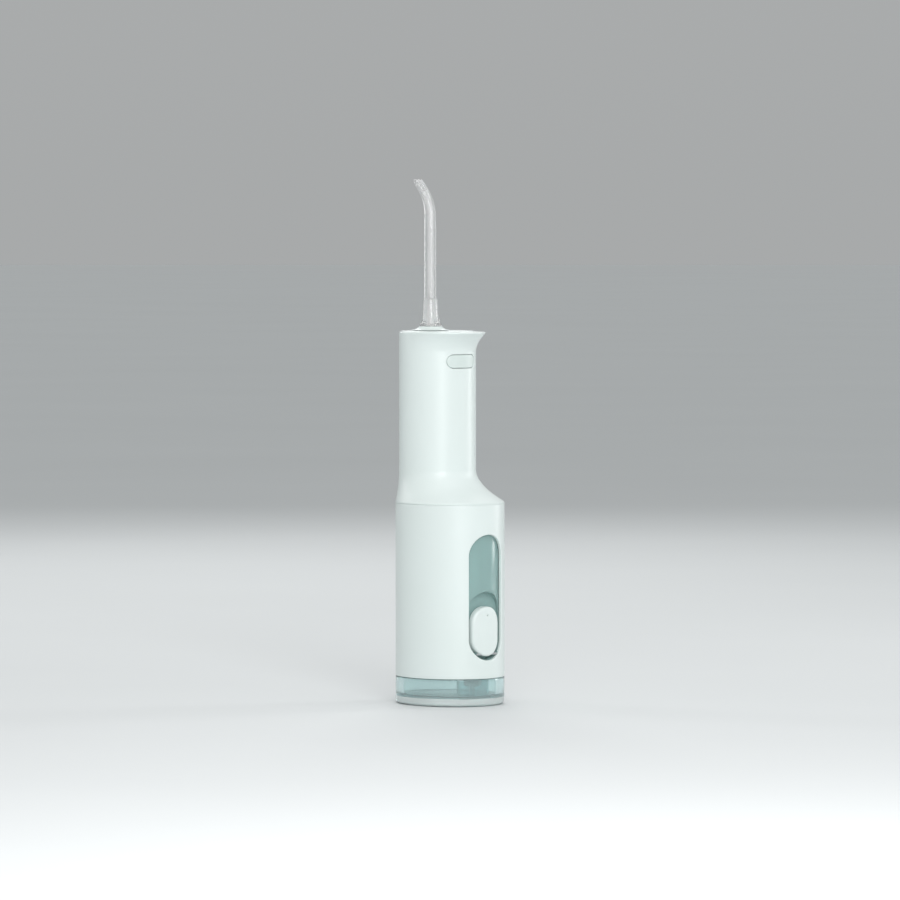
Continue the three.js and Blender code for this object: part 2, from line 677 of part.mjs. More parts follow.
function nozzleSeat() {
  const { low, high, radius, floor, seal_low, port_z } = SEAT;
  const armEnd = { front: -9, back: -7.3 };
  const cup = join(
    upright(0, NOZZLE_Y, radius, low, high),
    box(0, 7.4, NOZZLE_Y + 2, armEnd.back, 168, high),
    box(2.4, 7.4, armEnd.front, armEnd.back, 168, 176),
    lengthwise(0, port_z, 1.6, NOZZLE_Y, -3.4),
  );
  return cut(
    cup,
    upright(0, NOZZLE_Y, NOZZLE_STEM_RADIUS + 0.4, floor, high + 3),
    upright(0, NOZZLE_Y, radius - 1.5, seal_low, high + 3),
    upright(0, NOZZLE_Y, NOZZLE_BORE_RADIUS, port_z, NOZZLE_STEM_LOW, 14),
    lengthwise(0, port_z, 1.0, NOZZLE_Y - 0.5, 0, 6),
  );
}

function nozzleSeal() {
  const { high, radius, seal_low } = SEAT;
  return cut(
    upright(0, NOZZLE_Y, radius - 1.8, seal_low + GAP, high),
    upright(0, NOZZLE_Y, NOZZLE_STEM_RADIUS + 0.2, seal_low - 1, high + 1),
  );
}

add("swivel_ring", swivelRing(), WHITE);
add("nozzle_base", nozzleBase(), NOZZLE_CLEAR);
add("nozzle_tube", nozzleTube(), NOZZLE_CLEAR);
add("nozzle_seat", nozzleSeat(), GREY);
add("nozzle_seal", nozzleSeal(), SILICONE);

// ---------------------------------------------------------------- battery, motor and electronics
function chassis() {
  const spine = box(-12.6, 12.6, -21.6, -20.2, 109.6, 164);
  const web = box(1.9, 2.5, -20.8, 2, 109.6, 162);
  const shelf = cut(
    outlineSolid(between(0.33), HOUSING_WALL + 0.5, 109.6, 111.6),
    upright(MOTOR.x, MOTOR.y, 1.6, 109, 112),
    upright(0, GEAR_Y, AXLE_RADIUS + GAP, 109, 112),
    upright(9.3, 9.3, 4.0, 109, 112),
    box(-9, 9, -40, -21.6, 109, 112),
  );
  const footLow = PLUG_BOTTOM + PLUG_FLOOR + GAP;
  const feet = SCREW_PLACES.map(([x, y]) => upright(x, y, 2.4, footLow, 110, 12));
  const screwHoles = SCREW_PLACES.map(([x, y]) => {
    return upright(x, y, SCREW_HOLE_RADIUS, PLUG_BOTTOM, PLUG_BOTTOM + SCREW_LENGTH + 2.5, 10);
  });
  return cut(
    join(spine, web, shelf, ...feet),
    upright(MOTOR.x, MOTOR.y, MOTOR.radius + GAP, 111.6, 170),
    upright(BATTERY.x, BATTERY.y, BATTERY.radius + GAP, 112, 170),
    ...screwHoles,
  );
}

function motor() {
  const can = turned(MOTOR.x, MOTOR.y, [
    [0, MOTOR.low + 1.4],
    [2.6, MOTOR.low + 1.4],
    [2.6, MOTOR.low],
    [MOTOR.radius - 2, MOTOR.low],
    [MOTOR.radius - 2, MOTOR.low + 0.4],
    [MOTOR.radius, MOTOR.low + 0.8],
    [MOTOR.radius, MOTOR.high - 2],
    [MOTOR.radius - 1, MOTOR.high - 1],
    [3, MOTOR.high - 1],
    [3, MOTOR.high],
    [0, MOTOR.high],
  ], 32);
  return cut(can, upright(MOTOR.x, MOTOR.y, 1.3, MOTOR.low - 1, MOTOR.low + 8, 16));
}

function battery() {
  const { x, y, radius, low, high } = BATTERY;
  return turned(x, y, [
    [0, low],
    [radius - 0.5, low],
    [radius, low + 0.5],
    [radius, high - 2],
    [radius - 0.8, high - 1.2],
    [2.6, high - 1.2],
    [2.6, high],
    [0, high],
  ], 32);
}

function circuitBoard() {
  const { half_x, front, thick, low, high } = BOARD;
  return box(-half_x, half_x, front, front + thick, low, high);
}

function switchOnBoard(z) {
  const low = BOARD.front - GAP;
  return join(
    box(-2.6, 2.6, low - 0.7, low, z - 2.6, z + 2.6),
    lengthwise(0, z, 1.4, low - 1.1, low - 0.5, 8),
  );
}

function usbSocket() {
  const shell = lyingStadium(PORT.z, 4.2, 1.4);
  const mouth = lyingStadium(PORT.z, 3.8, 1.0);
  return cut(extrudedBack(shell, -27.4, -21.8, 8), extrudedBack(mouth, -28, -22.6, 8));
}

function lightGuide() {
  const bar = box(-6, 6, -26.2, BOARD.front - GAP, LIGHTS_Z - 0.9, LIGHTS_Z + 0.9);
  const pegs = [-1, 0, 1].map((i) => {
    const peg = lengthwise(LIGHT_PITCH * i, LIGHTS_Z, LIGHT_PEG_RADIUS, -32, -25, 8);
    return peg.intersect(outlineSolid(GRIP_OUTLINE, 0.1, LIGHTS_Z - 2, LIGHTS_Z + 2));
  });
  return join(bar, ...pegs);
}

add("chassis", chassis(), GREY);
add("motor", motor(), STEEL);
add("battery_cell", battery(), CELL_BLUE);
add("circuit_board", circuitBoard(), BOARD_GREEN);
add("power_switch", switchOnBoard(POWER_BUTTON.z), STEEL);
add("mode_switch", switchOnBoard(MODE_BUTTON.z), STEEL);
add("usb_socket", usbSocket(), STEEL);
add("light_guide", lightGuide(), NOZZLE_CLEAR);

// ---------------------------------------------------------------- gears, crank and pump
// A spur gear's outline with straight-sided teeth, turned by phase.
function gearOutline(x, y, teeth, phase) {
  const pitch = (GEAR_MODULE * teeth) / 2;
  const step = (2 * Math.PI) / teeth;
  const corners = [
    [-0.29, -1.15],
    [-0.12, 0.85],
    [0.12, 0.85],
    [0.29, -1.15],
  ];
  const shape = new THREE.Shape();
  for (let tooth = 0; tooth < teeth; tooth++) {
    corners.forEach(([along_pitch, height], i) => {
      const angle = phase + step * (tooth + along_pitch);
      const radius = pitch + GEAR_MODULE * height;
      const px = x + radius * Math.cos(angle);
      const py = y + radius * Math.sin(angle);
      if (tooth === 0 && i === 0) shape.moveTo(px, py);
      else shape.lineTo(px, py);
    });
  }
  shape.closePath();
  return shape;
}

const meshAngle = Math.atan2(GEAR_Y - MOTOR.y, -MOTOR.x);

function pinion() {
  const outline = gearOutline(MOTOR.x, MOTOR.y, PINION_TEETH, meshAngle);
  const teeth = extrudedUp(outline, GEAR_LOW - 0.4, GEAR_LOW + GEAR_THICK + 0.4);
  return cut(teeth, upright(MOTOR.x, MOTOR.y, 1.0 + GAP / 2, 100, 112, 16));
}

function motorShaft() {
  return upright(MOTOR.x, MOTOR.y, 1.0, GEAR_LOW - 1, MOTOR.low + 6, 16);
}

function driveGear() {
  const halfTooth = Math.PI / GEAR_TEETH;
  const outline = gearOutline(0, GEAR_Y, GEAR_TEETH, meshAngle + Math.PI + halfTooth);
  const teeth = extrudedUp(outline, GEAR_LOW, GEAR_LOW + GEAR_THICK);
  const disc = upright(0, GEAR_Y, CRANK_DISC_RADIUS, GEAR_LOW - 1.2, GEAR_LOW + 0.5, 24);
  const pin = upright(0, GEAR_Y + CRANK_RADIUS, CRANK_PIN_RADIUS, PUMP_Z - 1.6, GEAR_LOW, 16);
  return cut(join(teeth, disc, pin), upright(0, GEAR_Y, AXLE_RADIUS + GAP, GEAR_LOW - 0.6, 112, 16));
}

function gearAxle() {
  return upright(0, GEAR_Y, AXLE_RADIUS, GEAR_LOW, 113, 16);
}

function connectingRod() {
  const low = PUMP_Z - 1.3;
  const high = PUMP_Z + 1.3;
  const bigEnd = GEAR_Y + CRANK_RADIUS;
  const rod = join(
    upright(0, bigEnd, ROD_RADIUS, low, high, 20),
    box(-0.9, 0.9, bigEnd, bigEnd + ROD_LENGTH - 1, low, high),
    upright(0, bigEnd + ROD_LENGTH - 1.2, 1.1, low, high, 16),
  );
  return cut(rod, upright(0, bigEnd, CRANK_PIN_RADIUS + GAP, low - 1, high + 1, 16));
}

function piston() {
  const skirt = GEAR_Y + CRANK_RADIUS + ROD_LENGTH - 5.2;
  const crown = skirt + PISTON_LENGTH;
  const sealGroove = cut(
    lengthwise(0, PUMP_Z, PISTON_RADIUS + 1, crown - 1.4, crown - 0.5),
    lengthwise(0, PUMP_Z, PISTON_RADIUS - 0.7, crown - 2, crown),
  );
  return cut(
    lengthwise(0, PUMP_Z, PISTON_RADIUS, skirt, crown),
    lengthwise(0, PUMP_Z, PISTON_RADIUS - PISTON_WALL, skirt - 1, crown - 1.9),
    sealGroove,
  );
}

function pumpBody() {
  const barrel = lengthwise(0, PUMP_Z, PUMP_OUTER_RADIUS, PUMP_START_Y, PUMP_END_Y);
  const foot = box(-4, 4, PUMP_BORE_END_Y - 5, PUMP_END_Y - 1, PLUG_BOTTOM + PLUG_FLOOR + GAP, PUMP_Z);
  const outletBoss = acrossX(3, 0, 7, SUCTION_Y, PUMP_Z, 20);
  const outletBarb = acrossX(1.2, 5.9, 8.9, SUCTION_Y, PUMP_Z, 14);
  const outletBore = acrossX(0.7, -0.5, 12.5, SUCTION_Y, PUMP_Z, 12);
  const inletBore = upright(0, SUCTION_Y, 1.0, 90, PUMP_Z, 14);
  const valveRoom = upright(0, SUCTION_Y, VALVE_BALL_RADIUS + 0.4, VALVE_LOW, PUMP_Z, 18);
  const passage = lengthwise(0, PUMP_Z, 1.0, PUMP_BORE_END_Y - 1, SUCTION_Y, 8);
  return cut(
    join(barrel, foot, outletBoss, outletBarb),
    lengthwise(0, PUMP_Z, PUMP_BORE_RADIUS, PUMP_START_Y - 1, PUMP_BORE_END_Y),
    inletBore,
    valveRoom,
    passage,
    outletBore,
  );
}

function inletBall() {
  const ball = new THREE.SphereGeometry(VALVE_BALL_RADIUS, 16, 10);
  ball.rotateX(Math.PI / 2);
  ball.translate(0, SUCTION_Y, VALVE_LOW + VALVE_BALL_RADIUS + 0.1);
  return toSolid(ball);
}

function pressureHose() {
  const route = [
    [9.6, SUCTION_Y, PUMP_Z],
    [10.6, SUCTION_Y - 0.3, PUMP_Z + 0.3],
    [11.6, 15.8, 102.6],
    [11.2, 12.8, 106.6],
    [8.8, 8.4, 111.4],
    [5.2, 5.6, 117],
    [2.0, 5.0, 123],
    [0, 4.6, 132],
    [0, 4.6, 150],
    [0, 4.2, 158],
    [0, 2.2, 164.6],
    [0, -0.9, 166.9],
    [0, -2.8, 167.2],
  ];
  return cut(along(route, 2.0, 8, 26), along(route, 0.9, 6, 26));
}

add("pinion", pinion(), BRASS);
add("motor_shaft", motorShaft(), STEEL);
add("drive_gear", driveGear(), ACETAL);
add("gear_axle", gearAxle(), STEEL);
add("connecting_rod", connectingRod(), ACETAL);
add("piston", piston(), ACETAL);
add("pump_body", pumpBody(), GREY);
add("inlet_ball", inletBall(), STEEL);
add("pressure_hose", pressureHose(), SILICONE);

export default flosser;
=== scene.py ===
"""Looks of the water flosser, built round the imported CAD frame.

Shapes are worked out in millimetres and turned into metres when a mesh is made. -Y is the front.
"""
import math

import bmesh
import bpy
import numpy as np
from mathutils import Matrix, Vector
from mathutils.geometry import delaunay_2d_cdt


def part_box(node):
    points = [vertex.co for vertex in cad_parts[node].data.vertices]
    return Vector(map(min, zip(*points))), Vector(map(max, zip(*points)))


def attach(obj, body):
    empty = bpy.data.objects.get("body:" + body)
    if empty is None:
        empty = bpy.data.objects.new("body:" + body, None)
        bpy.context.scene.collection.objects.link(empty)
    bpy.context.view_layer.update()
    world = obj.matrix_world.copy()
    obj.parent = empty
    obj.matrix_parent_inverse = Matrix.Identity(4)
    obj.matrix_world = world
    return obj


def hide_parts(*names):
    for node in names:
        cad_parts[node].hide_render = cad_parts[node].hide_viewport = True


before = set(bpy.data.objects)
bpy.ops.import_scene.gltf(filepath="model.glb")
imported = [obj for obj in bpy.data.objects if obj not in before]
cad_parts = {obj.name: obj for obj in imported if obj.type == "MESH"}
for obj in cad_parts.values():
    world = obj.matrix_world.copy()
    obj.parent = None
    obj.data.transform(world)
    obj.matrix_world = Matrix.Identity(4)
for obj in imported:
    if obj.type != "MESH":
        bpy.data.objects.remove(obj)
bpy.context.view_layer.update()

MM = 0.001
BACK, FRONT = 1, -1  # the two sides of the body that holes and pads lie on
BUTTON_TAB = 1.5  # how far a front button's retaining tabs reach past its face
RELEASE_RIM = 1.0  # how far the release button's retaining rim reaches past its face


def box_mm(node):
    """A CAD node's lowest and highest corners, in millimetres."""
    low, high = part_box(node)
    return np.array(low) / MM, np.array(high) / MM


def face_shape(low, high, rim=0.0):
    """Height, half width and half height of a piece's face, inside its rim."""
    return (low[2] + high[2]) / 2, (high[0] - low[0]) / 2 - rim, (high[2] - low[2]) / 2 - rim


def round_shape(low, high):
    """Height, half width and half height of a round front button's face."""
    half = (high[2] - low[2]) / 2 - BUTTON_TAB
    return (low[2] + high[2]) / 2, half, half


# ------------------------------------------------------------------ sizes taken from the frame
SLEEVE_LOW, SLEEVE_HIGH = box_mm("tank_sleeve")
HOUSING_LOW, HOUSING_HIGH = box_mm("handle_housing")
CAP_LOW, CAP_HIGH = box_mm("filler_cap")
RING_LOW, RING_HIGH = box_mm("swivel_ring")
BASE_LOW, BASE_HIGH = box_mm("nozzle_base")
TUBE_LOW, TUBE_HIGH = box_mm("nozzle_tube")
STRAINER_LOW, STRAINER_HIGH = box_mm("strainer")
VESSEL_TOP = box_mm("tank_vessel")[1][2]
LIGHT_Z = face_shape(*box_mm("light_guide"))[0]
CAP_SHAPE = face_shape(CAP_LOW, CAP_HIGH)
FLAP_SHAPE = face_shape(*box_mm("port_cover"))
RELEASE_SHAPE = face_shape(*box_mm("release_button"), RELEASE_RIM)
POWER_SHAPE = round_shape(*box_mm("power_button"))
MODE_SHAPE = round_shape(*box_mm("mode_button"))

TANK_RX = (SLEEVE_HIGH[0] - SLEEVE_LOW[0]) / 2
TANK_RY = (SLEEVE_HIGH[1] - SLEEVE_LOW[1]) / 2
GRIP_RX = 19.8
GRIP_RY = 20.4
GRIP_CY = GRIP_RY - TANK_RY  # flush with the tank at the front
NOZZLE_Y = (RING_LOW[1] + RING_HIGH[1]) / 2
SUCTION_Y = (STRAINER_LOW[1] + STRAINER_HIGH[1]) / 2

# ------------------------------------------------------------------ sizes set here, in millimetres
GAP = 0.3
SLEEVE_WALL = 1.6
SLEEVE_FILLET = 0.3
VESSEL_INSET = SLEEVE_WALL + GAP
TANK_WALL = 2.0
TANK_FLOOR = 4.4
FOOT_FILLET = 2.0
FOOT_TOP_FILLET = 0.3
VESSEL_RIM_FILLET = 0.4
ZONE_MARGIN = 0.1  # a face up to this far above the foot or the floor takes its material; both of these materials carry painted light

HOUSING_WALL = 2.2
SHOULDER_TOP = 121.4
SHOULDER_RISE = 1.06  # the hollow curve would pass the tank's outline by this factor at the seam
SHOULDER_TURN = 0.08  # how gently the curve turns over into the tank's outline
LIP_START = 182.7
LIP_EDGE = 192.4
LIP_REACH = 7.5
LIP_FLARE = 1.7  # power by which the lip's reach grows with height
LIP_FADE = 1.5  # power by which the reach fades round to the sides
TOP_PLATE = 2.5
PLATEAU = 0.45  # the top face stands this far above the rim and the lip
PLATEAU_INSET = 0.9
PLATEAU_EDGE = ((1.0, 0.0), (0.3, 0.1), (0.0, 0.5))  # (share of the plateau below its top, extra inset)
THROAT_RADIUS = 6.6
THROAT_EDGE = 0.2
SEAM = 0.06
SHOULDER_START = 0.5  # the first plain row above the seam
SEAM_EDGE = ((0.0, 0.12), (0.04, 0.04), (0.12, 0.0))  # (up from the seam, inset)

BUTTON_GAP = 0.22
BUTTON_HOLE_FILLET = 0.25
RELEASE_EDGE = 0.45
RELEASE_REACH = 1.4  # how far the release button reaches inwards past the wall
KEY_EDGE = 0.5
KEY_REACH = 1.2  # how far the front buttons reach inwards past the wall
LIGHT_PITCH = 4.4
LIGHT_RADIUS = 1.0
LIGHT_FILLET = 0.1
FLAP_EDGE = 0.25
FLAP_THICKNESS = 1.0
FLAP_POCKET = 1.2
FLAP_POCKET_FILLET = 0.3
PORT_HALF_X = 4.8
PORT_HALF_Z = 1.7

WINDOW_HALF = 11.0
WINDOW_LOW = 23.6
WINDOW_HIGH = 88.7
POCKET_HALF = 10.7
POCKET_LOW = 23.9
POCKET_HIGH = 59.1
POCKET_FLOOR_Y = 24.2
POCKET_BOSS_Y = 21.6
FILLER_RADIUS = 8.0
FILLER_Z = 38.6

WINDOW_FILLET = 0.5
POCKET_FILLET = 0.3
BOSS_WALL = 1.8
FLOOR_FILLET = 1.6
SUMP_RADIUS = 7.2
SUMP_Z = 2.2
SUMP_DRAFT = 0.3
WELL_RADIUS = 8.0
WELL_TOP = 13.4
WELL_SLOT_HALF = 3.0
WELL_EDGE = 0.15
WELL_LIFT = 0.02  # keeps the well's foot clear of the floor it stands on
VENT_Z = 46.8
VENT_RADIUS = 0.5
VENT_FLARE = 0.2
VENT_DEPTH = 2.5
CAP_EDGE = 1.2
CAP_SUNK = 0.7

HINGE_Y, HINGE_Z = 28.2, 26.9
HINGE_HOLE = 0.75
LUG_BACK, LUG_FRONT = 23.8, 28.0
LUG_LOW, LUG_HIGH = 26.3, 27.8
LUG_INNER, LUG_OUTER = 6.1, 8.2

COLLAR_BORE = 3.8
COLLAR_BARREL = 6.2
COLLAR_TOP = 6.1
COLLAR_EDGE = 0.2
COLLAR_BEVEL = 0.06  # the middle of the upper edge, in and down
COLLAR_BRIM = ((0.1, 0.0), (0.0, 0.08))  # (in from the rim, up from the housing's side of the flange)
COLLAR_SLOPE = 0.18  # where the hollow slope starts above that side
COLLAR_HOLLOW = 2.2  # power of the slope's curve

NOZZLE_STEM = 3.4
STEM_LEAD = (0.6, 1.0)  # how far the stem's end is tapered, inwards and upwards
NOZZLE_GROOVE = 2.6
GROOVE_LOW, GROOVE_HIGH = 176.4, 179.6
GROOVE_RAMPS = (0.2, 0.4)  # heights of the groove's lower and upper slopes
NOZZLE_BORE = 1.1
BORE_HIGHLIGHT_DEPTH = 0.05  # faces this close to the bore's wall take the near-white painted highlight
NOZZLE_SEATING = 196.0
FLANGE_STEPS = ((0.15, 0.0), (0.0, 0.15), (0.1, 0.75), (0.4, 0.95))  # (in from the rim, up from the seating)
SERRATIONS = 18
SERRATION_DEPTH = 0.28
CONE_LEDGE = 0.5  # how far in from the flange's rim the cone starts
CONE_RISE = 1.0  # how far above the seating it starts
CONE_HOLLOW = 0.7  # power of the cone's curve
CONE_WAIST = 4.0
WAIST_Z = 201.4
NECK_STEPS = ((0.5, 0.5), (0.42, 0.12), (0.25, 0.0))  # (out from the tube, down from the cone's top)
TUBE_RADIUS = 3.1
TUBE_EDGE = 0.15
TIP_RADIUS = 2.3
TIP_BORE = 0.8
TIP_EDGE = ((0.0, 0.3), (0.08, 0.08), (0.3, 0.0))  # (in from the tip's side, down from its end)
TIP_SHIFT = 1.2  # keeps the level ring below the tip clear of the last leaning one
TAPER_Z = 250.0
BEND_Z = 252.5
BEND_RADIUS = 20.0
BEND = math.radians(40)

# ------------------------------------------------------------------ how finely the meshes are divided
COLUMNS = 192
THETA = np.linspace(0, 2 * math.pi, COLUMNS, endpoint=False)
QUARTER_STEPS = 12  # round each quarter of a round-ended outline
SIDE_STEPS = 4  # along each of its straight sides
PAD_EDGE_ROWS = 7
VENT_SKIP = 4  # the small vent takes only every fourth point of its outline
SHOULDER_STEP = 0.55
WALL_STEP = 1.3
FOOT_STEP = 2.0
INNER_STEPS = (2.0, 1.6)  # inside the shoulder and inside the grip
LIP_ROWS = 22
LIP_EDGE_ANGLES = (22, 45, 67, 90)
TOP_SHARES = (0.25, 0.5, 0.75, 0.94)
FLOOR_SHARES = (0.25, 0.5, 0.75, 1.0)
WELL_SECTIONS = 97
HOLE_POINTS = 13
SLOPE_ROWS = 13
COLLAR_COLUMNS = 128
CONE_ROWS = 11
SERRATION_COLUMNS = 8  # for each serration
TUBE_COLUMNS = 64
TUBE_STEP = 3.0
BEND_ROWS = 25
FACE_PITCH = 0.9
PATCH_MARGIN = 1.2
SMALL_HOLE_PARTS = 9  # a small hole's patch has a margin of one such part of the hole's width
PATCH_CLEARANCE = 0.45  # wall points nearer to a hole's loop than this are left out
CDT_REACH = 1e-6  # the triangulation joins points closer than this
MERGE_METRES = 1e-7

# ------------------------------------------------------------------ camera, floor, sky and lights
CAMERA_AZIMUTH = 138.5
CAMERA_ELEVATION = 2.5
CAMERA_DISTANCE = 3.2
CAMERA_REACH = 20
FRAME_HEIGHT = 0.468  # metres across the picture at the object
LOOK_HEIGHT = 0.1316
SENSOR = 36.0
FLOOR_SIZE = 60
FLOOR_DROP = 0.0002  # metres below the object
FLOOR_COLOUR = (0.73, 0.75, 0.755)
FLOOR_DRIFT = 0.98  # how much darker the floor's darker spots are
FLOOR_ROUGHNESS = 0.75
SKY_COLOUR = (0.93, 0.955, 0.96)
SKY_LOW, SKY_HIGH = 0.42, 0.56
SKY_TURN = 0.5  # the sky is at its brightest from here up, where 0 is level and 1 is overhead
LIGHTS = (
    # name, degrees round from the camera, elevation, metres away, (width, height), watts
    ("key", 5, 24, 1.3, (0.6, 0.9), 6.5),
    ("strip", 12, 12, 1.1, (0.25, 0.5), 1.9),
    ("left_rim", -120, 24, 1.4, (0.22, 0.7), 1.6),
    ("right_rim", 112, 10.2, 1.0, (0.2, 0.6), 1.9),
    ("fill", 185, 32, 1.6, (0.8, 0.8), 5.0),
    ("top", 10, 80, 1.2, (0.8, 0.8), 2.0),
)


# ------------------------------------------------------------------ the outline that both casings follow
def smooth_min(a, b, blend):
    """The lower of two values, with a rounded change from one to the other."""
    h = np.clip(0.5 + 0.5 * (b - a) / blend, 0, 1)
    return b * (1 - h) + a * h - blend * h * (1 - h)


def shoulder_share(z):
    """0 on the grip, 1 on the tank's outline: a hollow curve that turns over just above the seam."""
    depth = np.clip((SHOULDER_TOP - z) / (SHOULDER_TOP - HOUSING_LOW[2]), 0, 1)
    return float(smooth_min(SHOULDER_RISE * depth**2, 1.0, SHOULDER_TURN))


def outline_at(z):
    """Half width, half depth and centre Y of the body's outline at a height."""
    share = 1.0 if z <= HOUSING_LOW[2] else shoulder_share(z)
    rx = GRIP_RX + share * (TANK_RX - GRIP_RX)
    ry = GRIP_RY + share * (TANK_RY - GRIP_RY)
    return rx, ry, GRIP_CY * (1 - share)


def ring(z, inset=0.0, lip=0.0):
    """A level ring of the body's outline, moved in by an inset and out at the back by a lip."""
    rx, ry, cy = outline_at(z)
    reach = lip * np.maximum(0, np.sin(THETA)) ** LIP_FADE - inset
    return np.stack(
        [(rx + reach) * np.cos(THETA), cy + (ry + reach) * np.sin(THETA), np.full(COLUMNS, z)], axis=1
    )


def circle_ring(x, y, radius, z, count=COLUMNS):
    """A level round ring."""
    angle = np.linspace(0, 2 * math.pi, count, endpoint=False)
    return np.stack([x + radius * np.cos(angle), y + radius * np.sin(angle), np.full(count, z)], axis=1)


def on_wall(outline, side, depth):
    """The points of an (x, z) outline, laid on the back or front wall at a depth below its surface."""
    points = []
    for x, z in outline:
        rx, ry, cy = outline_at(z)
        bend = math.sqrt(max(0.0, 1 - (x / (rx - depth)) ** 2))
        points.append((x, cy + side * (ry - depth) * bend, z))
    return np.array(points)


def stadium(z, half_x, half_z, grow=0.0):
    """A round-ended outline about (0, z) as (x, z) points, always with the same number of points."""
    hx = half_x + grow
    hz = half_z + grow
    radius = min(hx, hz)
    corners = [(hx - radius, hz - radius), (radius - hx, hz - radius),
               (radius - hx, radius - hz), (hx - radius, radius - hz)]
    points = []
    for quarter, (cx, cz) in enumerate(corners):
        for step in range(QUARTER_STEPS):
            angle = math.pi / 2 * (quarter + step / QUARTER_STEPS)
            points.append((cx + radius * math.cos(angle), z + cz + radius * math.sin(angle)))
        end = math.pi / 2 * (quarter + 1)
        last = (cx + radius * math.cos(end), z + cz + radius * math.sin(end))
        nx, nz = corners[(quarter + 1) % 4]
        following = (nx + radius * math.cos(end), z + nz + radius * math.sin(end))
        for step in range(SIDE_STEPS):
            share = step / SIDE_STEPS
            points.append(tuple(a + share * (b - a) for a, b in zip(last, following)))
    return np.array(points)


# ------------------------------------------------------------------ meshes made from rings and loops
class Skin:
    """A closed surface put together from rings, with round-ended holes let into its walls."""

    def __init__(self):
        self.points = []
        self.faces = []

    def add(self, points):
        """Adds points and gives their numbers."""
        first = len(self.points)
        self.points.extend(np.asarray(points, dtype=float).tolist())
        return np.arange(first, len(self.points))

    def stitch(self, low, high, skip=()):
        """Quads between two loops of the same length, except at the columns to skip."""
        count = len(low)
        for i in range(count):
            if any(start <= i < end for start, end in skip):
                continue
            j = (i + 1) % count
            self.faces.append((low[i], low[j], high[j], high[i]))

    def chain(self, loops):
        """Quads between each loop and the next."""
        for low, high in zip(loops, loops[1:]):
            self.stitch(low, high)

    def cap(self, loop):
        """One face across a loop."""
        self.faces.append(tuple(loop))

    def wall(self, rows, heights, holes):
        """Quads between rows, but round each hole a patch of triangles that meets its loop."""
        patches = [Patch(heights, *hole) for hole in holes]
        for i in range(len(rows) - 1):
            skip = [(p.left, p.right) for p in patches if p.low <= i < p.high]
            self.stitch(rows[i], rows[i + 1], skip)
        for patch in patches:
            patch.fill(self, rows, heights)

    def make(self, name, smooth_deg=40):
        """The object, in metres, from the points that faces use."""
        used = sorted({int(i) for face in self.faces for i in face})
        place = {old: new for new, old in enumerate(used)}
        mesh = bpy.data.meshes.new(name)
        points = [Vector(self.points[i]) * MM for i in used]
        mesh.from_pydata(points, [], [[place[int(i)] for i in face] for face in self.faces])
        obj = bpy.data.objects.new(name, mesh)
        bpy.context.scene.collection.objects.link(obj)
        tidy(obj, smooth_deg)
        return obj


class Patch:
    """The rectangle of wall round one hole, in arc length round the body and height."""

    def __init__(self, heights, outline, loop, side, depth):
        self.loop = loop
        rx = np.array([outline_at(z)[0] - depth for z in outline[:, 1]])
        angle = np.arccos(np.clip(outline[:, 0] / rx, -1, 1))
        self.angle = angle if side > 0 else 2 * math.pi - angle
        self.z = outline[:, 1]
        step = 2 * math.pi / COLUMNS
        margin = min(PATCH_MARGIN, (outline[:, 0].max() - outline[:, 0].min()) / SMALL_HOLE_PARTS)
        spread = margin / GRIP_RX
        self.left = int((self.angle.min() - spread) / step)
        self.right = int(math.ceil((self.angle.max() + spread) / step))
        heights = np.array(heights)
        self.low = int(np.flatnonzero(heights <= self.z.min() - margin / 2)[-1])
        self.high = int(np.flatnonzero(heights >= self.z.max() + margin / 2)[0])

    def fill(self, skin, rows, heights):
        """Triangles between the rectangle's border, the wall points inside it and the hole's loop."""
        step = 2 * math.pi / COLUMNS
        radius = (GRIP_RX + TANK_RX) / 2
        border = [(self.low, j) for j in range(self.left, self.right)]
        border += [(i, self.right) for i in range(self.low, self.high)]
        border += [(self.high, j) for j in range(self.right, self.left, -1)]
        border += [(i, self.left) for i in range(self.high, self.low, -1)]
        hole = np.stack([self.angle * radius, self.z], axis=1)
        inner = []
        for i in range(self.low + 1, self.high):
            for j in range(self.left + 1, self.right):
                spot = np.array([j * step * radius, heights[i]])
                near = np.min(np.linalg.norm(hole - spot, axis=1))
                if near > PATCH_CLEARANCE and not inside(spot, hole):
                    inner.append((i, j))
        index = [rows[i][j % COLUMNS] for i, j in border] + list(self.loop)
        index += [rows[i][j % COLUMNS] for i, j in inner]
        flat = [Vector((j * step * radius, heights[i])) for i, j in border]
        flat += [Vector(p) for p in hole]
        flat += [Vector((j * step * radius, heights[i])) for i, j in inner]
        n, m = len(border), len(self.loop)
        edges = [(k, (k + 1) % n) for k in range(n)]
        edges += [(n + k, n + (k + 1) % m) for k in range(m)]
        places, _, faces, origins, _, _ = delaunay_2d_cdt(flat, edges, [], 0, CDT_REACH)
        for face in faces:
            centre = sum((places[k] for k in face), Vector((0, 0))) / len(face)
            if not inside(np.array(centre), hole):
                skin.faces.append(tuple(index[origins[k][0]] for k in face))


def inside(spot, loop):
    """Whether a flat point lies inside a closed loop."""
    x, y = loop[:, 0], loop[:, 1]
    x2, y2 = np.roll(x, -1), np.roll(y, -1)
    crosses = (y > spot[1]) != (y2 > spot[1])
    with np.errstate(divide="ignore", invalid="ignore"):
        where = x + (spot[1] - y) * (x2 - x) / (y2 - y)
    return bool(np.count_nonzero(crosses & (spot[0] < where)) % 2)


def tidy(obj, smooth_deg):
    """Merges doubles, points the faces outwards and shades smoothly up to an angle."""
    work = bmesh.new()
    work.from_mesh(obj.data)
    bmesh.ops.remove_doubles(work, verts=work.verts, dist=MERGE_METRES)
    bmesh.ops.recalc_face_normals(work, faces=work.faces)
    work.to_mesh(obj.data)
    work.free()
    obj.data.shade_smooth()
    obj.data.set_sharp_from_angle(angle=math.radians(smooth_deg))


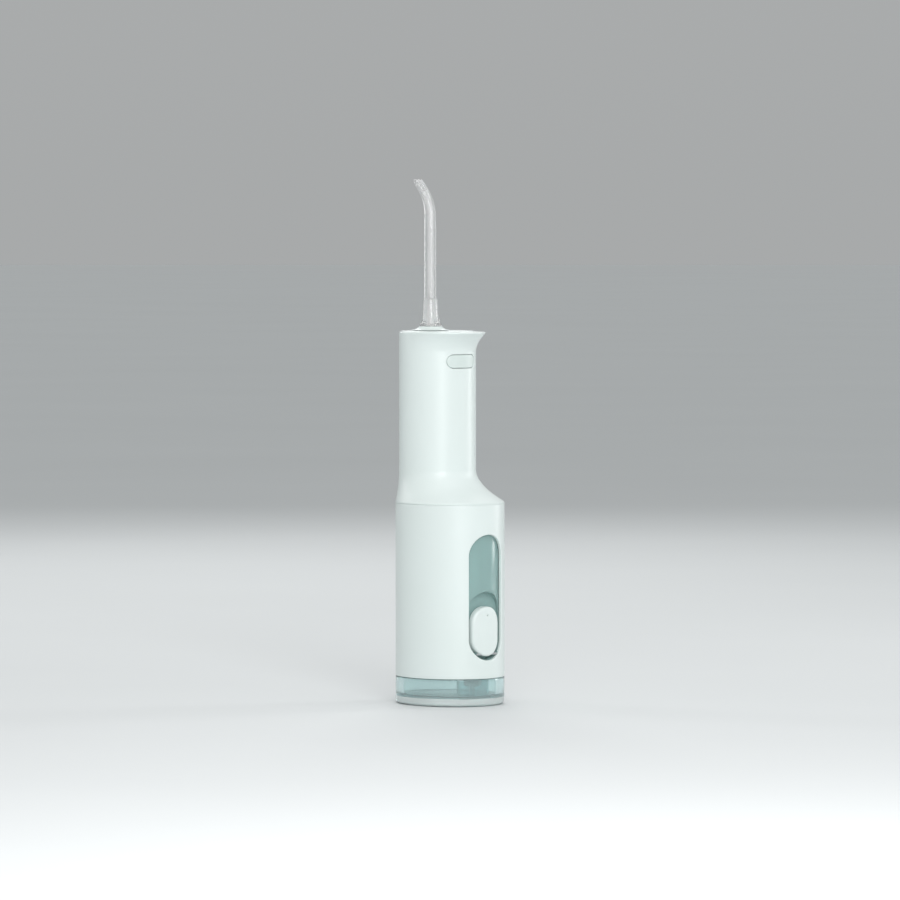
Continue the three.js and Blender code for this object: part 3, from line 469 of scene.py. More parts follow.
def fillet(radius, steps=4):
    """Steps round a quarter circle as (grow, depth) pairs, from the outside face into the hole."""
    pairs = []
    for i in range(steps + 1):
        angle = math.pi / 2 * i / steps
        pairs.append((radius * (1 - math.sin(angle)), radius * (1 - math.cos(angle))))
    return pairs


def hole_loops(skin, z, half_x, half_z, side, radius, x=0.0):
    """The loops of a hole's rounded edge, from the wall inwards, and the outline of the first."""
    loops = []
    for grow, depth in fillet(radius):
        outline = stadium(z, half_x, half_z, grow) + (x, 0)
        loops.append(skin.add(on_wall(outline, side, depth)))
    skin.chain(loops)
    return loops, stadium(z, half_x, half_z, radius) + (x, 0)


def at_y(outline, y):
    """The points of an (x, z) outline on a flat plane."""
    return np.array([(x, y, z) for x, z in outline])


# ------------------------------------------------------------------ materials
NOISE_LOW, NOISE_HIGH = 0.3, 0.7  # most of a noise texture's values lie between these
CLEAR_IOR = 1.47
GRAIN_STRETCH = (1, 1, 14)


def new_material(name, colour, roughness, **sockets):
    """A plain shader. Other sockets are named with underscores for spaces."""
    material = bpy.data.materials.new(name)
    material.use_nodes = True
    shader = material.node_tree.nodes["Principled BSDF"]
    shader.inputs["Base Color"].default_value = (*colour, 1)
    shader.inputs["Roughness"].default_value = roughness
    for key, value in sockets.items():
        shader.inputs[key.replace("_", " ")].default_value = value
    return material


def noise(material, scale, detail=3.0, stretch=(1, 1, 1)):
    """A noise texture in object space, so that it stays on the piece."""
    nodes, links = material.node_tree.nodes, material.node_tree.links
    place = nodes.new("ShaderNodeTexCoord")
    mapping = nodes.new("ShaderNodeMapping")
    mapping.inputs["Scale"].default_value = stretch
    texture = nodes.new("ShaderNodeTexNoise")
    texture.inputs["Scale"].default_value = scale
    texture.inputs["Detail"].default_value = detail
    links.new(place.outputs["Object"], mapping.inputs["Vector"])
    links.new(mapping.outputs["Vector"], texture.inputs["Vector"])
    return texture.outputs["Fac"]


def spread(material, value, low, high):
    """A noise factor stretched over low to high."""
    node = material.node_tree.nodes.new("ShaderNodeMapRange")
    node.inputs["From Min"].default_value = NOISE_LOW
    node.inputs["From Max"].default_value = NOISE_HIGH
    node.inputs["To Min"].default_value = low
    node.inputs["To Max"].default_value = high
    material.node_tree.links.new(value, node.inputs["Value"])
    return node.outputs["Result"]


def vary_roughness(material, value, low, high):
    """Lets a noise factor vary the roughness."""
    shader = material.node_tree.nodes["Principled BSDF"]
    material.node_tree.links.new(spread(material, value, low, high), shader.inputs["Roughness"])


def vary_colour(material, value, first, second):
    """Lets a noise factor mix two colours."""
    nodes, links = material.node_tree.nodes, material.node_tree.links
    mix = nodes.new("ShaderNodeMix")
    mix.data_type = "RGBA"
    mix.inputs["A"].default_value = (*first, 1)
    mix.inputs["B"].default_value = (*second, 1)
    links.new(spread(material, value, 0, 1), mix.inputs["Factor"])
    links.new(mix.outputs["Result"], nodes["Principled BSDF"].inputs["Base Color"])


def bump(material, value, strength, distance):
    """Lets a noise factor give a fine relief, with its distance in metres."""
    nodes, links = material.node_tree.nodes, material.node_tree.links
    node = nodes.new("ShaderNodeBump")
    node.inputs["Strength"].default_value = strength
    node.inputs["Distance"].default_value = distance
    links.new(value, node.inputs["Height"])
    links.new(node.outputs["Normal"], nodes["Principled BSDF"].inputs["Normal"])


def satin_plastic(name, colour, shade, roughness):
    """Moulded plastic with a fine spark-eroded grain and a faint drift of tone."""
    material = new_material(name, colour, roughness, Specular_IOR_Level=0.5, Coat_Weight=0.12,
                            Coat_Roughness=0.25)
    vary_colour(material, noise(material, scale=22, detail=2), colour, shade)
    vary_roughness(material, noise(material, scale=900, detail=3), roughness - 0.05, roughness + 0.06)
    bump(material, noise(material, scale=2600, detail=2), strength=0.1, distance=0.00003)
    return material


def clear_plastic(name, colour, roughness, clearness, depth_colour, density, waviness=0.03):
    """Clear moulded plastic: most light passes, and a little colour gathers with thickness."""
    material = new_material(name, colour, roughness, IOR=CLEAR_IOR, Transmission_Weight=clearness)
    vary_roughness(material, noise(material, scale=60, detail=3), roughness, roughness + 0.03)
    bump(material, noise(material, scale=30, detail=2), strength=waviness, distance=0.0002)
    nodes, links = material.node_tree.nodes, material.node_tree.links
    volume = nodes.new("ShaderNodeVolumeAbsorption")
    volume.inputs["Color"].default_value = (*depth_colour, 1)
    volume.inputs["Density"].default_value = density
    output = next(n for n in nodes if n.type == "OUTPUT_MATERIAL")
    links.new(volume.outputs["Volume"], output.inputs["Volume"])
    return material


def silicone(name, colour):
    """Soft matt rubber."""
    material = new_material(name, colour, 0.6, Sheen_Weight=0.15)
    vary_roughness(material, noise(material, scale=400), 0.52, 0.68)
    bump(material, noise(material, scale=1500), strength=0.15, distance=0.00004)
    return material


def metal(name, colour, roughness):
    """Metal with a fine turned grain."""
    material = new_material(name, colour, roughness, Metallic=1.0)
    grain = noise(material, scale=700, detail=4, stretch=GRAIN_STRETCH)
    vary_roughness(material, grain, roughness - 0.08, roughness + 0.12)
    bump(material, grain, strength=0.12, distance=0.00003)
    return material


def plain_plastic(name, colour, shade, roughness):
    """Moulded plastic for the parts inside."""
    material = new_material(name, colour, roughness)
    vary_colour(material, noise(material, scale=60), colour, shade)
    vary_roughness(material, noise(material, scale=700), roughness - 0.06, roughness + 0.08)
    bump(material, noise(material, scale=1800), strength=0.12, distance=0.00004)
    return material


# name, colour, second colour, roughness
WHITE = satin_plastic("satin_white", (0.745, 0.815, 0.80), (0.73, 0.80, 0.78), 0.36)
BUTTON = satin_plastic("button_white", (0.67, 0.75, 0.725), (0.65, 0.73, 0.705), 0.40)
# name, colour, roughness, share of light let through, colour gathered with depth, density of that colour
TANK_CLEAR = clear_plastic("tank_clear", (0.61, 0.87, 0.845), 0.05, 0.62, (0.55, 0.84, 0.84), 6)
# the foot: the plastic's own teal tint, plus a bright diffuse share that is painted light standing in for
# the lit inside of the tank
FOOT_CLEAR_PAINTED_LIGHT = clear_plastic("foot_clear_painted_light", (0.84, 1.0, 1.0), 0.02, 0.80, (0.36, 0.84, 0.88), 10)
WELL_CLEAR = clear_plastic("well_clear", (0.30, 0.68, 0.70), 0.03, 0.80, (0.42, 0.84, 0.88), 30)
# the tank's floor: half diffuse and near white, painted light standing in for the light refracted through
# the thick floor
FLOOR_CLEAR_PAINTED_LIGHT = clear_plastic("floor_clear_painted_light", (0.90, 0.97, 0.96), 0.08, 0.45, (0.60, 0.88, 0.88), 4)
STRAINER_CLEAR = clear_plastic("strainer_clear", (0.02, 0.18, 0.20), 0.05, 0.1, (0.3, 0.65, 0.65), 60)
NOZZLE_CLEAR = clear_plastic("nozzle_clear", (0.94, 0.94, 0.94), 0.03, 0.80, (0.70, 0.72, 0.72), 20, 0.0)
# the bore's wall: near-opaque white, a painted highlight standing in for the bright line down the nozzle's
# middle
BORE_PAINTED_HIGHLIGHT = clear_plastic("bore_painted_highlight", (0.99, 0.99, 0.99), 0.3, 0.05, (0.9, 0.9, 0.9), 10, 0.0)
SILICONE = silicone("silicone_grey", (0.62, 0.68, 0.67))
STEEL = metal("steel", (0.62, 0.63, 0.64), 0.28)
MOTOR_STEEL = metal("motor_steel", (0.55, 0.56, 0.57), 0.34)
BRASS = metal("brass", (0.66, 0.50, 0.24), 0.3)
INNER_GREY = plain_plastic("inner_grey", (0.42, 0.46, 0.46), (0.36, 0.40, 0.40), 0.5)
ACETAL = plain_plastic("acetal", (0.80, 0.78, 0.72), (0.74, 0.72, 0.66), 0.38)
SWITCH_BLACK = plain_plastic("switch_black", (0.02, 0.02, 0.02), (0.035, 0.035, 0.035), 0.42)
CELL_WRAP = plain_plastic("cell_wrap", (0.05, 0.16, 0.34), (0.04, 0.13, 0.30), 0.32)
BOARD = plain_plastic("board_green", (0.015, 0.12, 0.06), (0.02, 0.16, 0.08), 0.4)
LIGHT_CLEAR = clear_plastic("light_clear", (0.95, 0.97, 0.96), 0.25, 0.8, (0.8, 0.9, 0.9), 40)


def finish_piece(obj, material, body, slot, *nodes):
    """Gives a piece its material, unless it has its own, and its place in the frame."""
    if material:
        obj.data.materials.append(material)
    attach(obj, body)
    if nodes:
        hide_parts(*nodes)


# ------------------------------------------------------------------ handle housing
def spaced(low, high, step):
    """Even values from low to high, about a step apart."""
    return np.linspace(low, high, max(2, int(round((high - low) / step)) + 1))


def handle_rows():
    """(z, inset, lip) of the housing's outside, from the seam to the top face."""
    low = SLEEVE_HIGH[2] + SEAM
    top = HOUSING_HIGH[2] - PLATEAU
    rows = [(low + rise, inset, 0) for rise, inset in SEAM_EDGE]
    rows += [(z, 0, 0) for z in spaced(low + SHOULDER_START, SHOULDER_TOP, SHOULDER_STEP)]
    rows += [(z, 0, 0) for z in spaced(SHOULDER_TOP, LIP_START, WALL_STEP)[1:]]
    for share in np.linspace(0, 1, LIP_ROWS)[1:]:
        rows.append((LIP_START + share * (LIP_EDGE - LIP_START), 0, LIP_REACH * share**LIP_FLARE))
    edge = top - LIP_EDGE
    for angle in np.radians(LIP_EDGE_ANGLES):
        rows.append((LIP_EDGE + edge * math.sin(angle), edge * (1 - math.cos(angle)), LIP_REACH))
    return rows


def make_housing():
    """The shell with its button holes, charging pocket, lip and top plate."""
    skin = Skin()
    profile = handle_rows()
    rows = [skin.add(ring(*row)) for row in profile]
    heights = [row[0] for row in profile]
    straight = sum(1 for z in heights if z <= LIP_START)

    shoulder_step, grip_step = INNER_STEPS
    inner_heights = [*spaced(heights[0], SHOULDER_TOP, shoulder_step),
                     *spaced(SHOULDER_TOP, HOUSING_HIGH[2] - TOP_PLATE, grip_step)[1:]]
    inner_rows = [skin.add(ring(z, HOUSING_WALL)) for z in inner_heights]

    holes, inner_holes = [], []
    for z, half_x, half_z, side, x, radius in housing_holes():
        loops, outline = hole_loops(skin, z, half_x, half_z, side, radius, x)
        bare = stadium(z, half_x, half_z) + (x, 0)
        last = skin.add(on_wall(bare, side, HOUSING_WALL))
        skin.stitch(loops[-1], last)
        holes.append((outline, loops[0], side, 0))
        inner_holes.append((bare, last, side, HOUSING_WALL))

    z, half_x, half_z = FLAP_SHAPE
    loops, outline = hole_loops(skin, z, half_x + GAP, half_z + GAP, FRONT, FLAP_POCKET_FILLET)
    pocket = skin.add(on_wall(stadium(z, half_x + GAP, half_z + GAP), FRONT, FLAP_POCKET))
    mouth = stadium(z, PORT_HALF_X, PORT_HALF_Z)
    port_front = skin.add(on_wall(mouth, FRONT, FLAP_POCKET))
    port_back = skin.add(on_wall(mouth, FRONT, HOUSING_WALL))
    skin.chain([loops[-1], pocket, port_front, port_back])
    holes.append((outline, loops[0], FRONT, 0))
    inner_holes.append((mouth, port_back, FRONT, HOUSING_WALL))

    skin.wall(rows[:straight], heights[:straight], holes)
    skin.chain(rows[straight - 1:])
    skin.wall(inner_rows, inner_heights, inner_holes)

    top = HOUSING_HIGH[2]
    step = [skin.add(ring(top - share * PLATEAU, PLATEAU_INSET + extra)) for share, extra in PLATEAU_EDGE]
    rim = ring(top, PLATEAU_INSET + PLATEAU_EDGE[-1][1])
    throat = circle_ring(0, NOZZLE_Y, THROAT_RADIUS, top)
    across = [skin.add(rim + share * (throat - rim)) for share in TOP_SHARES]
    edge = skin.add(circle_ring(0, NOZZLE_Y, THROAT_RADIUS, top - THROAT_EDGE))
    under = skin.add(circle_ring(0, NOZZLE_Y, THROAT_RADIUS, top - TOP_PLATE))
    skin.chain([rows[-1], *step, *across, edge, under, inner_rows[-1]])
    skin.stitch(rows[0], inner_rows[0])
    return skin.make("housing_shell")


def housing_holes():
    """Height, half width, half height, side, X and edge radius of each button's and each light's hole."""
    for (z, half_x, half_z), side in ((RELEASE_SHAPE, BACK), (POWER_SHAPE, FRONT), (MODE_SHAPE, FRONT)):
        yield z, half_x + BUTTON_GAP, half_z + BUTTON_GAP, side, 0, BUTTON_HOLE_FILLET
    for i in (-1, 0, 1):
        yield LIGHT_Z, LIGHT_RADIUS, LIGHT_RADIUS, FRONT, i * LIGHT_PITCH, LIGHT_FILLET


# ------------------------------------------------------------------ caps and buttons that follow a wall
def fill_face(skin, outline, loop, side, depth, hole=None):
    """Triangles over a pad's face, inside its outline and outside a small round hole."""
    flat = [Vector(p) for p in outline]
    index = list(loop)
    edges = [(k, (k + 1) % len(outline)) for k in range(len(outline))]
    if hole:
        ring_out, ring_loop = hole
        first = len(flat)
        flat += [Vector(p) for p in ring_out]
        index += list(ring_loop)
        edges += [(first + k, first + (k + 1) % len(ring_out)) for k in range(len(ring_out))]
    low, high = outline.min(axis=0), outline.max(axis=0)
    grid = []
    for x in spaced(low[0], high[0], FACE_PITCH):
        for z in spaced(low[1], high[1], FACE_PITCH):
            spot = np.array([x, z])
            near = np.min(np.linalg.norm(np.array(flat) - spot, axis=1))
            if near > FACE_PITCH / 2 and inside(spot, outline) and not (hole and inside(spot, hole[0])):
                grid.append((x, z))
    index += list(skin.add(on_wall(grid, side, depth)))
    flat += [Vector(p) for p in grid]
    places, _, faces, origins, _, _ = delaunay_2d_cdt(flat, edges, [], 0, CDT_REACH)
    for face in faces:
        centre = np.array(sum((places[k] for k in face), Vector((0, 0))) / len(face))
        if inside(centre, outline) and not (hole and inside(centre, hole[0])):
            skin.faces.append(tuple(index[origins[k][0]] for k in face))


def pad(name, z, half_x, half_z, side, depth, edge, back_y=None, hole=None, sunk=0.0):
    """A pad whose face follows the wall, with rounded edges and a flat or following back.

    A hole, given by its height and radius, is a small blind vent in the face.
    """
    skin = Skin()
    loops = []
    for angle in np.linspace(0, math.pi / 2, PAD_EDGE_ROWS):
        outline = stadium(z, half_x, half_z, -edge * (1 - math.sin(angle)))
        loops.append(skin.add(on_wall(outline, side, sunk + edge * (1 - math.cos(angle)))))
    outline = stadium(z, half_x, half_z)
    loops.append(skin.add(at_y(outline, back_y) if back_y is not None else on_wall(outline, side, depth)))
    skin.chain(loops)
    skin.cap(loops[-1])
    pit = None
    if hole:
        hole_z, radius = hole
        mouth = stadium(hole_z, radius + VENT_FLARE, radius + VENT_FLARE)[::VENT_SKIP]
        throat = stadium(hole_z, radius, radius)[::VENT_SKIP]
        pit_loops = [skin.add(on_wall(mouth, side, sunk)),
                     skin.add(on_wall(throat, side, sunk + VENT_FLARE)),
                     skin.add(on_wall(throat, side, sunk + VENT_DEPTH))]
        skin.chain(pit_loops)
        skin.cap(pit_loops[-1])
        pit = (mouth, pit_loops[0])
    fill_face(skin, stadium(z, half_x, half_z, -edge), loops[0], side, sunk, pit)
    return skin.make(name, smooth_deg=50)


# ------------------------------------------------------------------ water tank
def upright_stadium(half, low, high, grow=0.0):
    """A round-ended outline between two heights."""
    return stadium((low + high) / 2, half, (high - low) / 2, grow)


def low_edge(z, inset, radius, steps=4):
    """(z, inset, lip) of the rows that round a wall's lower edge, lowest first."""
    rows = []
    for angle in np.linspace(0, math.pi / 2, steps + 1):
        rows.append((z + radius * (1 - math.cos(angle)), inset + radius * (1 - math.sin(angle)), 0))
    return rows


def high_edge(z, inset, radius, steps=4):
    """The same for a wall's upper edge, also lowest first."""
    rows = low_edge(z, inset, radius, steps)
    return [(2 * z - row_z, row_inset, lip) for row_z, row_inset, lip in rows][::-1]


def wall_rows(low, high, inset, step=WALL_STEP):
    """(z, inset, lip) of a plain wall's rows."""
    return [(z, inset, 0) for z in spaced(low, high, step)]


def make_sleeve():
    """The white sleeve with its window."""
    skin = Skin()
    low, high = SLEEVE_LOW[2], SLEEVE_HIGH[2]
    edge = SLEEVE_FILLET
    outside = low_edge(low, 0, edge) + wall_rows(low + edge, high - edge, 0)[1:-1] + high_edge(high, 0, edge)
    inside_wall = wall_rows(low, high, SLEEVE_WALL)
    rows = [skin.add(ring(*row)) for row in outside]
    inner_rows = [skin.add(ring(*row)) for row in inside_wall]

    window = upright_stadium(WINDOW_HALF, WINDOW_LOW, WINDOW_HIGH)
    loops = []
    for grow, depth in fillet(WINDOW_FILLET):
        outline = upright_stadium(WINDOW_HALF, WINDOW_LOW, WINDOW_HIGH, grow)
        loops.append(skin.add(on_wall(outline, BACK, depth)))
    last = skin.add(on_wall(window, BACK, SLEEVE_WALL))
    skin.chain(loops + [last])
    outline = upright_stadium(WINDOW_HALF, WINDOW_LOW, WINDOW_HIGH, WINDOW_FILLET)
    skin.wall(rows, [row[0] for row in outside], [(outline, loops[0], BACK, 0)])
    skin.wall(inner_rows, [row[0] for row in inside_wall], [(window, last, BACK, SLEEVE_WALL)])
    skin.stitch(rows[-1], inner_rows[-1])
    skin.stitch(rows[0], inner_rows[0])
    return skin.make("sleeve_shell")


def make_vessel():
    """The clear tank: thick foot, wall with the filler's pocket, floor with the strainer's sump."""
    skin = Skin()
    foot_top = SLEEVE_LOW[2] - GAP
    inset = VESSEL_INSET + TANK_WALL
    foot = low_edge(0, 0, FOOT_FILLET, steps=8)
    foot += wall_rows(FOOT_FILLET, foot_top - FOOT_TOP_FILLET, 0, FOOT_STEP)[1:]
    foot += high_edge(foot_top, 0, FOOT_TOP_FILLET)[1:]
    outside = wall_rows(foot_top, VESSEL_TOP - VESSEL_RIM_FILLET, VESSEL_INSET)
    rim = high_edge(VESSEL_TOP, VESSEL_INSET, VESSEL_RIM_FILLET)[1:]
    inner_wall = wall_rows(TANK_FLOOR + FLOOR_FILLET, VESSEL_TOP, inset)
    floor_edge = low_edge(TANK_FLOOR, inset, FLOOR_FILLET, steps=6)[:-1]

    foot_rows = [skin.add(ring(*row)) for row in foot]
    outer_rows = [skin.add(ring(*row)) for row in outside]
    rim_rows = [skin.add(ring(*row)) for row in rim]
    inner_rows = [skin.add(ring(*row)) for row in inner_wall]
    floor_rows = [skin.add(ring(*row)) for row in floor_edge]

    pocket = upright_stadium(POCKET_HALF, POCKET_LOW, POCKET_HIGH)
    loops = []
    for grow, depth in fillet(POCKET_FILLET):
        outline = upright_stadium(POCKET_HALF, POCKET_LOW, POCKET_HIGH, grow)
        loops.append(skin.add(on_wall(outline, BACK, VESSEL_INSET + depth)))
    filler = stadium(FILLER_Z, FILLER_RADIUS, FILLER_RADIUS)
    boss = upright_stadium(POCKET_HALF, POCKET_LOW, POCKET_HIGH, BOSS_WALL)
    loops.append(skin.add(at_y(pocket, POCKET_FLOOR_Y)))
    loops.append(skin.add(at_y(filler, POCKET_FLOOR_Y)))
    loops.append(skin.add(at_y(filler, POCKET_BOSS_Y)))
    loops.append(skin.add(at_y(boss, POCKET_BOSS_Y)))
    loops.append(skin.add(on_wall(boss, BACK, inset)))
    skin.chain(loops)

    outline = upright_stadium(POCKET_HALF, POCKET_LOW, POCKET_HIGH, POCKET_FILLET)
    skin.wall(outer_rows, [row[0] for row in outside], [(outline, loops[0], BACK, VESSEL_INSET)])
    skin.wall(inner_rows, [row[0] for row in inner_wall], [(boss, loops[-1], BACK, inset)])
    skin.chain(foot_rows + outer_rows[:1])
    skin.chain(outer_rows[-1:] + rim_rows + inner_rows[-1:])
    skin.chain(floor_rows + inner_rows[:1])

    last = ring(*floor_edge[0])
    sump = circle_ring(0, SUCTION_Y, SUMP_RADIUS, TANK_FLOOR)
    across = [skin.add(last + share * (sump - last)) for share in FLOOR_SHARES]
    sump_low = skin.add(circle_ring(0, SUCTION_Y, SUMP_RADIUS - SUMP_DRAFT, SUMP_Z))
    skin.chain([floor_rows[0], *across, sump_low])
    skin.cap(sump_low)
    skin.cap(foot_rows[0])
    vessel = skin.make("vessel_clear", smooth_deg=32)
    for material in (TANK_CLEAR, FOOT_CLEAR_PAINTED_LIGHT, FLOOR_CLEAR_PAINTED_LIGHT):
        vessel.data.materials.append(material)
    for face in vessel.data.polygons:
        height = face.center.z / MM
        # faces in the foot take the foot's material, which carries painted light
        in_foot_painted_light = height < foot_top + ZONE_MARGIN
        # faces at the floor take the floor's near-white material, which is painted light
        in_floor_painted_light = height < TANK_FLOOR + ZONE_MARGIN
        face.material_index = int(in_foot_painted_light) + int(in_floor_painted_light)
    return vessel


def make_well():
    """The low wall round the strainer, open towards the front."""
    skin = Skin()
    middle = (WELL_RADIUS + SUMP_RADIUS) / 2
    slot = math.asin(WELL_SLOT_HALF / middle)
    angles = np.linspace(-math.pi / 2 + slot, 3 * math.pi / 2 - slot, WELL_SECTIONS)
    foot = TANK_FLOOR + WELL_LIFT
    corners = [(SUMP_RADIUS, foot), (WELL_RADIUS, foot),
               (WELL_RADIUS, WELL_TOP - WELL_EDGE), (WELL_RADIUS - WELL_EDGE, WELL_TOP),
               (SUMP_RADIUS + WELL_EDGE, WELL_TOP), (SUMP_RADIUS, WELL_TOP - WELL_EDGE)]
    sections = []
    for angle in angles:
        points = [(r * math.cos(angle), SUCTION_Y + r * math.sin(angle), z) for r, z in corners]
        sections.append(skin.add(points))
    skin.chain(sections)
    skin.cap(sections[0])
    skin.cap(sections[-1])
    return skin.make("strainer_well")


def make_lug(side):
    """A saddle that the filler cap's pin snaps into."""
    skin = Skin()
    outline = [(LUG_BACK, LUG_HIGH), (LUG_BACK, LUG_LOW), (LUG_FRONT, LUG_LOW)]
    opening = math.acos((LUG_FRONT - HINGE_Y) / HINGE_HOLE)
    for angle in np.linspace(2 * math.pi - opening, opening, HOLE_POINTS):
        outline.append((HINGE_Y + HINGE_HOLE * math.cos(angle), HINGE_Z + HINGE_HOLE * math.sin(angle)))
    outline.append((LUG_FRONT, LUG_HIGH))
    loops = [skin.add([(side * x, y, z) for y, z in outline]) for x in (LUG_INNER, LUG_OUTER)]
    skin.chain(loops)
    skin.cap(loops[0])
    skin.cap(loops[1])
    return skin.make("cap_lug_left" if side < 0 else "cap_lug_right")


# ------------------------------------------------------------------ nozzle and its collar
def make_collar():
    """The turned ring round the nozzle, with a barrel below and a hollow slope above its flange."""
    low, top = RING_LOW[2], RING_HIGH[2]
    face = HOUSING_HIGH[2] + GAP
    flange = (RING_HIGH[0] - RING_LOW[0]) / 2
    edge = COLLAR_EDGE
    profile = [(COLLAR_BORE, low), (COLLAR_BARREL - edge, low), (COLLAR_BARREL, low + edge),
               (COLLAR_BARREL, face)]
    profile += [(flange - cut, face + rise) for cut, rise in COLLAR_BRIM]
    slope = top - edge - face - COLLAR_SLOPE
    for share in np.linspace(0, 1, SLOPE_ROWS):
        radius = flange + share * (COLLAR_TOP - flange)
        profile.append((radius, face + COLLAR_SLOPE + slope * share**COLLAR_HOLLOW))
    profile += [(COLLAR_TOP - COLLAR_BEVEL, top - COLLAR_BEVEL), (COLLAR_TOP - edge, top),
                (COLLAR_BORE + edge, top), (COLLAR_BORE, top - edge)]
    skin = Skin()
    loops = [skin.add(circle_ring(0, NOZZLE_Y, radius, z, COLLAR_COLUMNS)) for radius, z in profile]
    skin.chain(loops + loops[:1])
    return skin.make("collar_ring", smooth_deg=45)


def off_path(point):
    """How far a point, in millimetres, lies from the nozzle's middle line."""
    x, y, z = point
    if z <= BEND_Z:
        return math.hypot(x, y - NOZZLE_Y)
    return math.hypot(x, math.hypot(y - NOZZLE_Y + BEND_RADIUS, z - BEND_Z) - BEND_RADIUS)


def paint_bore_highlight(obj):
    """Gives the outside the clear material and the bore's wall a near-opaque white: a painted highlight down
    the tube's middle.
    """
    obj.data.materials.append(NOZZLE_CLEAR)
    obj.data.materials.append(BORE_PAINTED_HIGHLIGHT)
    for face in obj.data.polygons:
        face.material_index = int(off_path(face.center / MM) < NOZZLE_BORE + BORE_HIGHLIGHT_DEPTH)
    return obj


def make_nozzle_base():
    """The clear lower piece: stem, serrated flange and hollow-sided cone, with a bore through it."""
    low, high = BASE_LOW[2], BASE_HIGH[2]
    stem, groove = NOZZLE_STEM, NOZZLE_GROOVE
    taper, lead = STEM_LEAD
    ramp_low, ramp_high = GROOVE_RAMPS
    flange = (BASE_HIGH[0] - BASE_LOW[0]) / 2
    below = [(NOZZLE_BORE, low), (stem - taper, low), (stem, low + lead), (stem, GROOVE_LOW),
             (groove, GROOVE_LOW + ramp_low), (groove, GROOVE_HIGH - ramp_high), (stem, GROOVE_HIGH),
             (stem, NOZZLE_SEATING)]
    above = []
    for share in np.linspace(0, 1, CONE_ROWS)[1:]:
        radius = flange - CONE_LEDGE + (CONE_WAIST - flange + CONE_LEDGE) * share**CONE_HOLLOW
        above.append((radius, NOZZLE_SEATING + CONE_RISE + share * (WAIST_Z - NOZZLE_SEATING - CONE_RISE)))
    above += [(TUBE_RADIUS + out, high - down) for out, down in NECK_STEPS]
    above.append((NOZZLE_BORE, high))
    skin = Skin()
    count = SERRATION_COLUMNS * SERRATIONS
    loops = [skin.add(circle_ring(0, NOZZLE_Y, radius, z, count)) for radius, z in below]
    for cut, rise in FLANGE_STEPS:
        loops.append(skin.add(serrated_ring(flange - cut, NOZZLE_SEATING + rise, count)))
    loops += [skin.add(circle_ring(0, NOZZLE_Y, radius, z, count)) for radius, z in above]
    skin.chain(loops + loops[:1])
    return paint_bore_highlight(skin.make("nozzle_cone", smooth_deg=30))


def serrated_ring(radius, z, count):
    """A level ring with a wave of finger grips cut into it."""
    points = circle_ring(0, NOZZLE_Y, 1.0, z, count)
    depth = SERRATION_DEPTH * (0.5 - 0.5 * np.cos(np.arange(count) * 2 * math.pi * SERRATIONS / count))
    points[:, 0] *= radius - depth
    points[:, 1] = NOZZLE_Y + (points[:, 1] - NOZZLE_Y) * (radius - depth)
    return points


def tube_section(y, z, lean, radius, cut_z=None):
    """A ring square to a path that leans towards the front, or cut off level at a height."""
    angle = np.linspace(0, 2 * math.pi, TUBE_COLUMNS, endpoint=False)
    across = radius * np.sin(angle)
    points = [radius * np.cos(angle), y + across * math.cos(lean), z + across * math.sin(lean)]
    points = np.stack(points, axis=1)
    if cut_z is not None:
        run = (cut_z - points[:, 2]) / math.cos(lean)
        points[:, 1] -= run * math.sin(lean)
        points[:, 2] = cut_z
    return points


def nozzle_stations(low):
    """(y, z, lean) of the tube's sections, straight up and then round the bend."""
    stations = [(NOZZLE_Y, z, 0.0) for z in spaced(low, BEND_Z, TUBE_STEP)]
    for lean in np.linspace(0, BEND, BEND_ROWS)[1:]:
        y = NOZZLE_Y - BEND_RADIUS * (1 - math.cos(lean))
        stations.append((y, BEND_Z + BEND_RADIUS * math.sin(lean), lean))
    return stations


def tube_radius(z):
    """The tube's outer radius, which tapers towards the tip."""
    share = max(0.0, (z - TAPER_Z) / (TUBE_HIGH[2] - TAPER_Z))
    return TUBE_RADIUS - share * (TUBE_RADIUS - TIP_RADIUS)


def make_nozzle_tube():
    """The bent tube with its bore, cut off level at the tip."""
    skin = Skin()
    low, high = TUBE_LOW[2], TUBE_HIGH[2]
    stations = nozzle_stations(low)
    y, z, lean = stations[0]
    outer = [skin.add(tube_section(y, z, lean, TUBE_RADIUS - TUBE_EDGE)),
             skin.add(tube_section(y, z + TUBE_EDGE, lean, tube_radius(z)))]
    outer += [skin.add(tube_section(y, z, lean, tube_radius(z))) for y, z, lean in stations[1:]]
    y, z, lean = stations[-1]
    middle = (z + high) / 2
    outer.append(skin.add(tube_section(y, z, lean, tube_radius(middle), cut_z=middle + TIP_SHIFT)))
    for cut, down in TIP_EDGE:
        outer.append(skin.add(tube_section(y, z, lean, TIP_RADIUS - cut, cut_z=high - down)))
    inner = [skin.add(tube_section(*station, NOZZLE_BORE)) for station in stations]
    inner.append(skin.add(tube_section(y, z, lean, TIP_BORE, cut_z=high)))
    skin.chain(outer + inner[::-1] + outer[:1])
    return paint_bore_highlight(skin.make("nozzle_spout"))


# ------------------------------------------------------------------ the pieces
finish_piece(make_housing(), WHITE, "handle", "body_white", "handle_housing")
release_face = pad("release_pill", *RELEASE_SHAPE, BACK, HOUSING_WALL + RELEASE_REACH, RELEASE_EDGE)
finish_piece(release_face, BUTTON, "release", "button_white", "release_button")
power_face = pad("power_key", *POWER_SHAPE, FRONT, HOUSING_WALL + KEY_REACH, KEY_EDGE)
finish_piece(power_face, BUTTON, "power_button", "button_white", "power_button")
mode_face = pad("mode_key", *MODE_SHAPE, FRONT, HOUSING_WALL + KEY_REACH, KEY_EDGE)
finish_piece(mode_face, BUTTON, "mode_button", "button_white", "mode_button")
flap = pad("charging_cover", *FLAP_SHAPE, FRONT, FLAP_THICKNESS, FLAP_EDGE)
finish_piece(flap, SILICONE, "port_cover", "silicone", "port_cover")

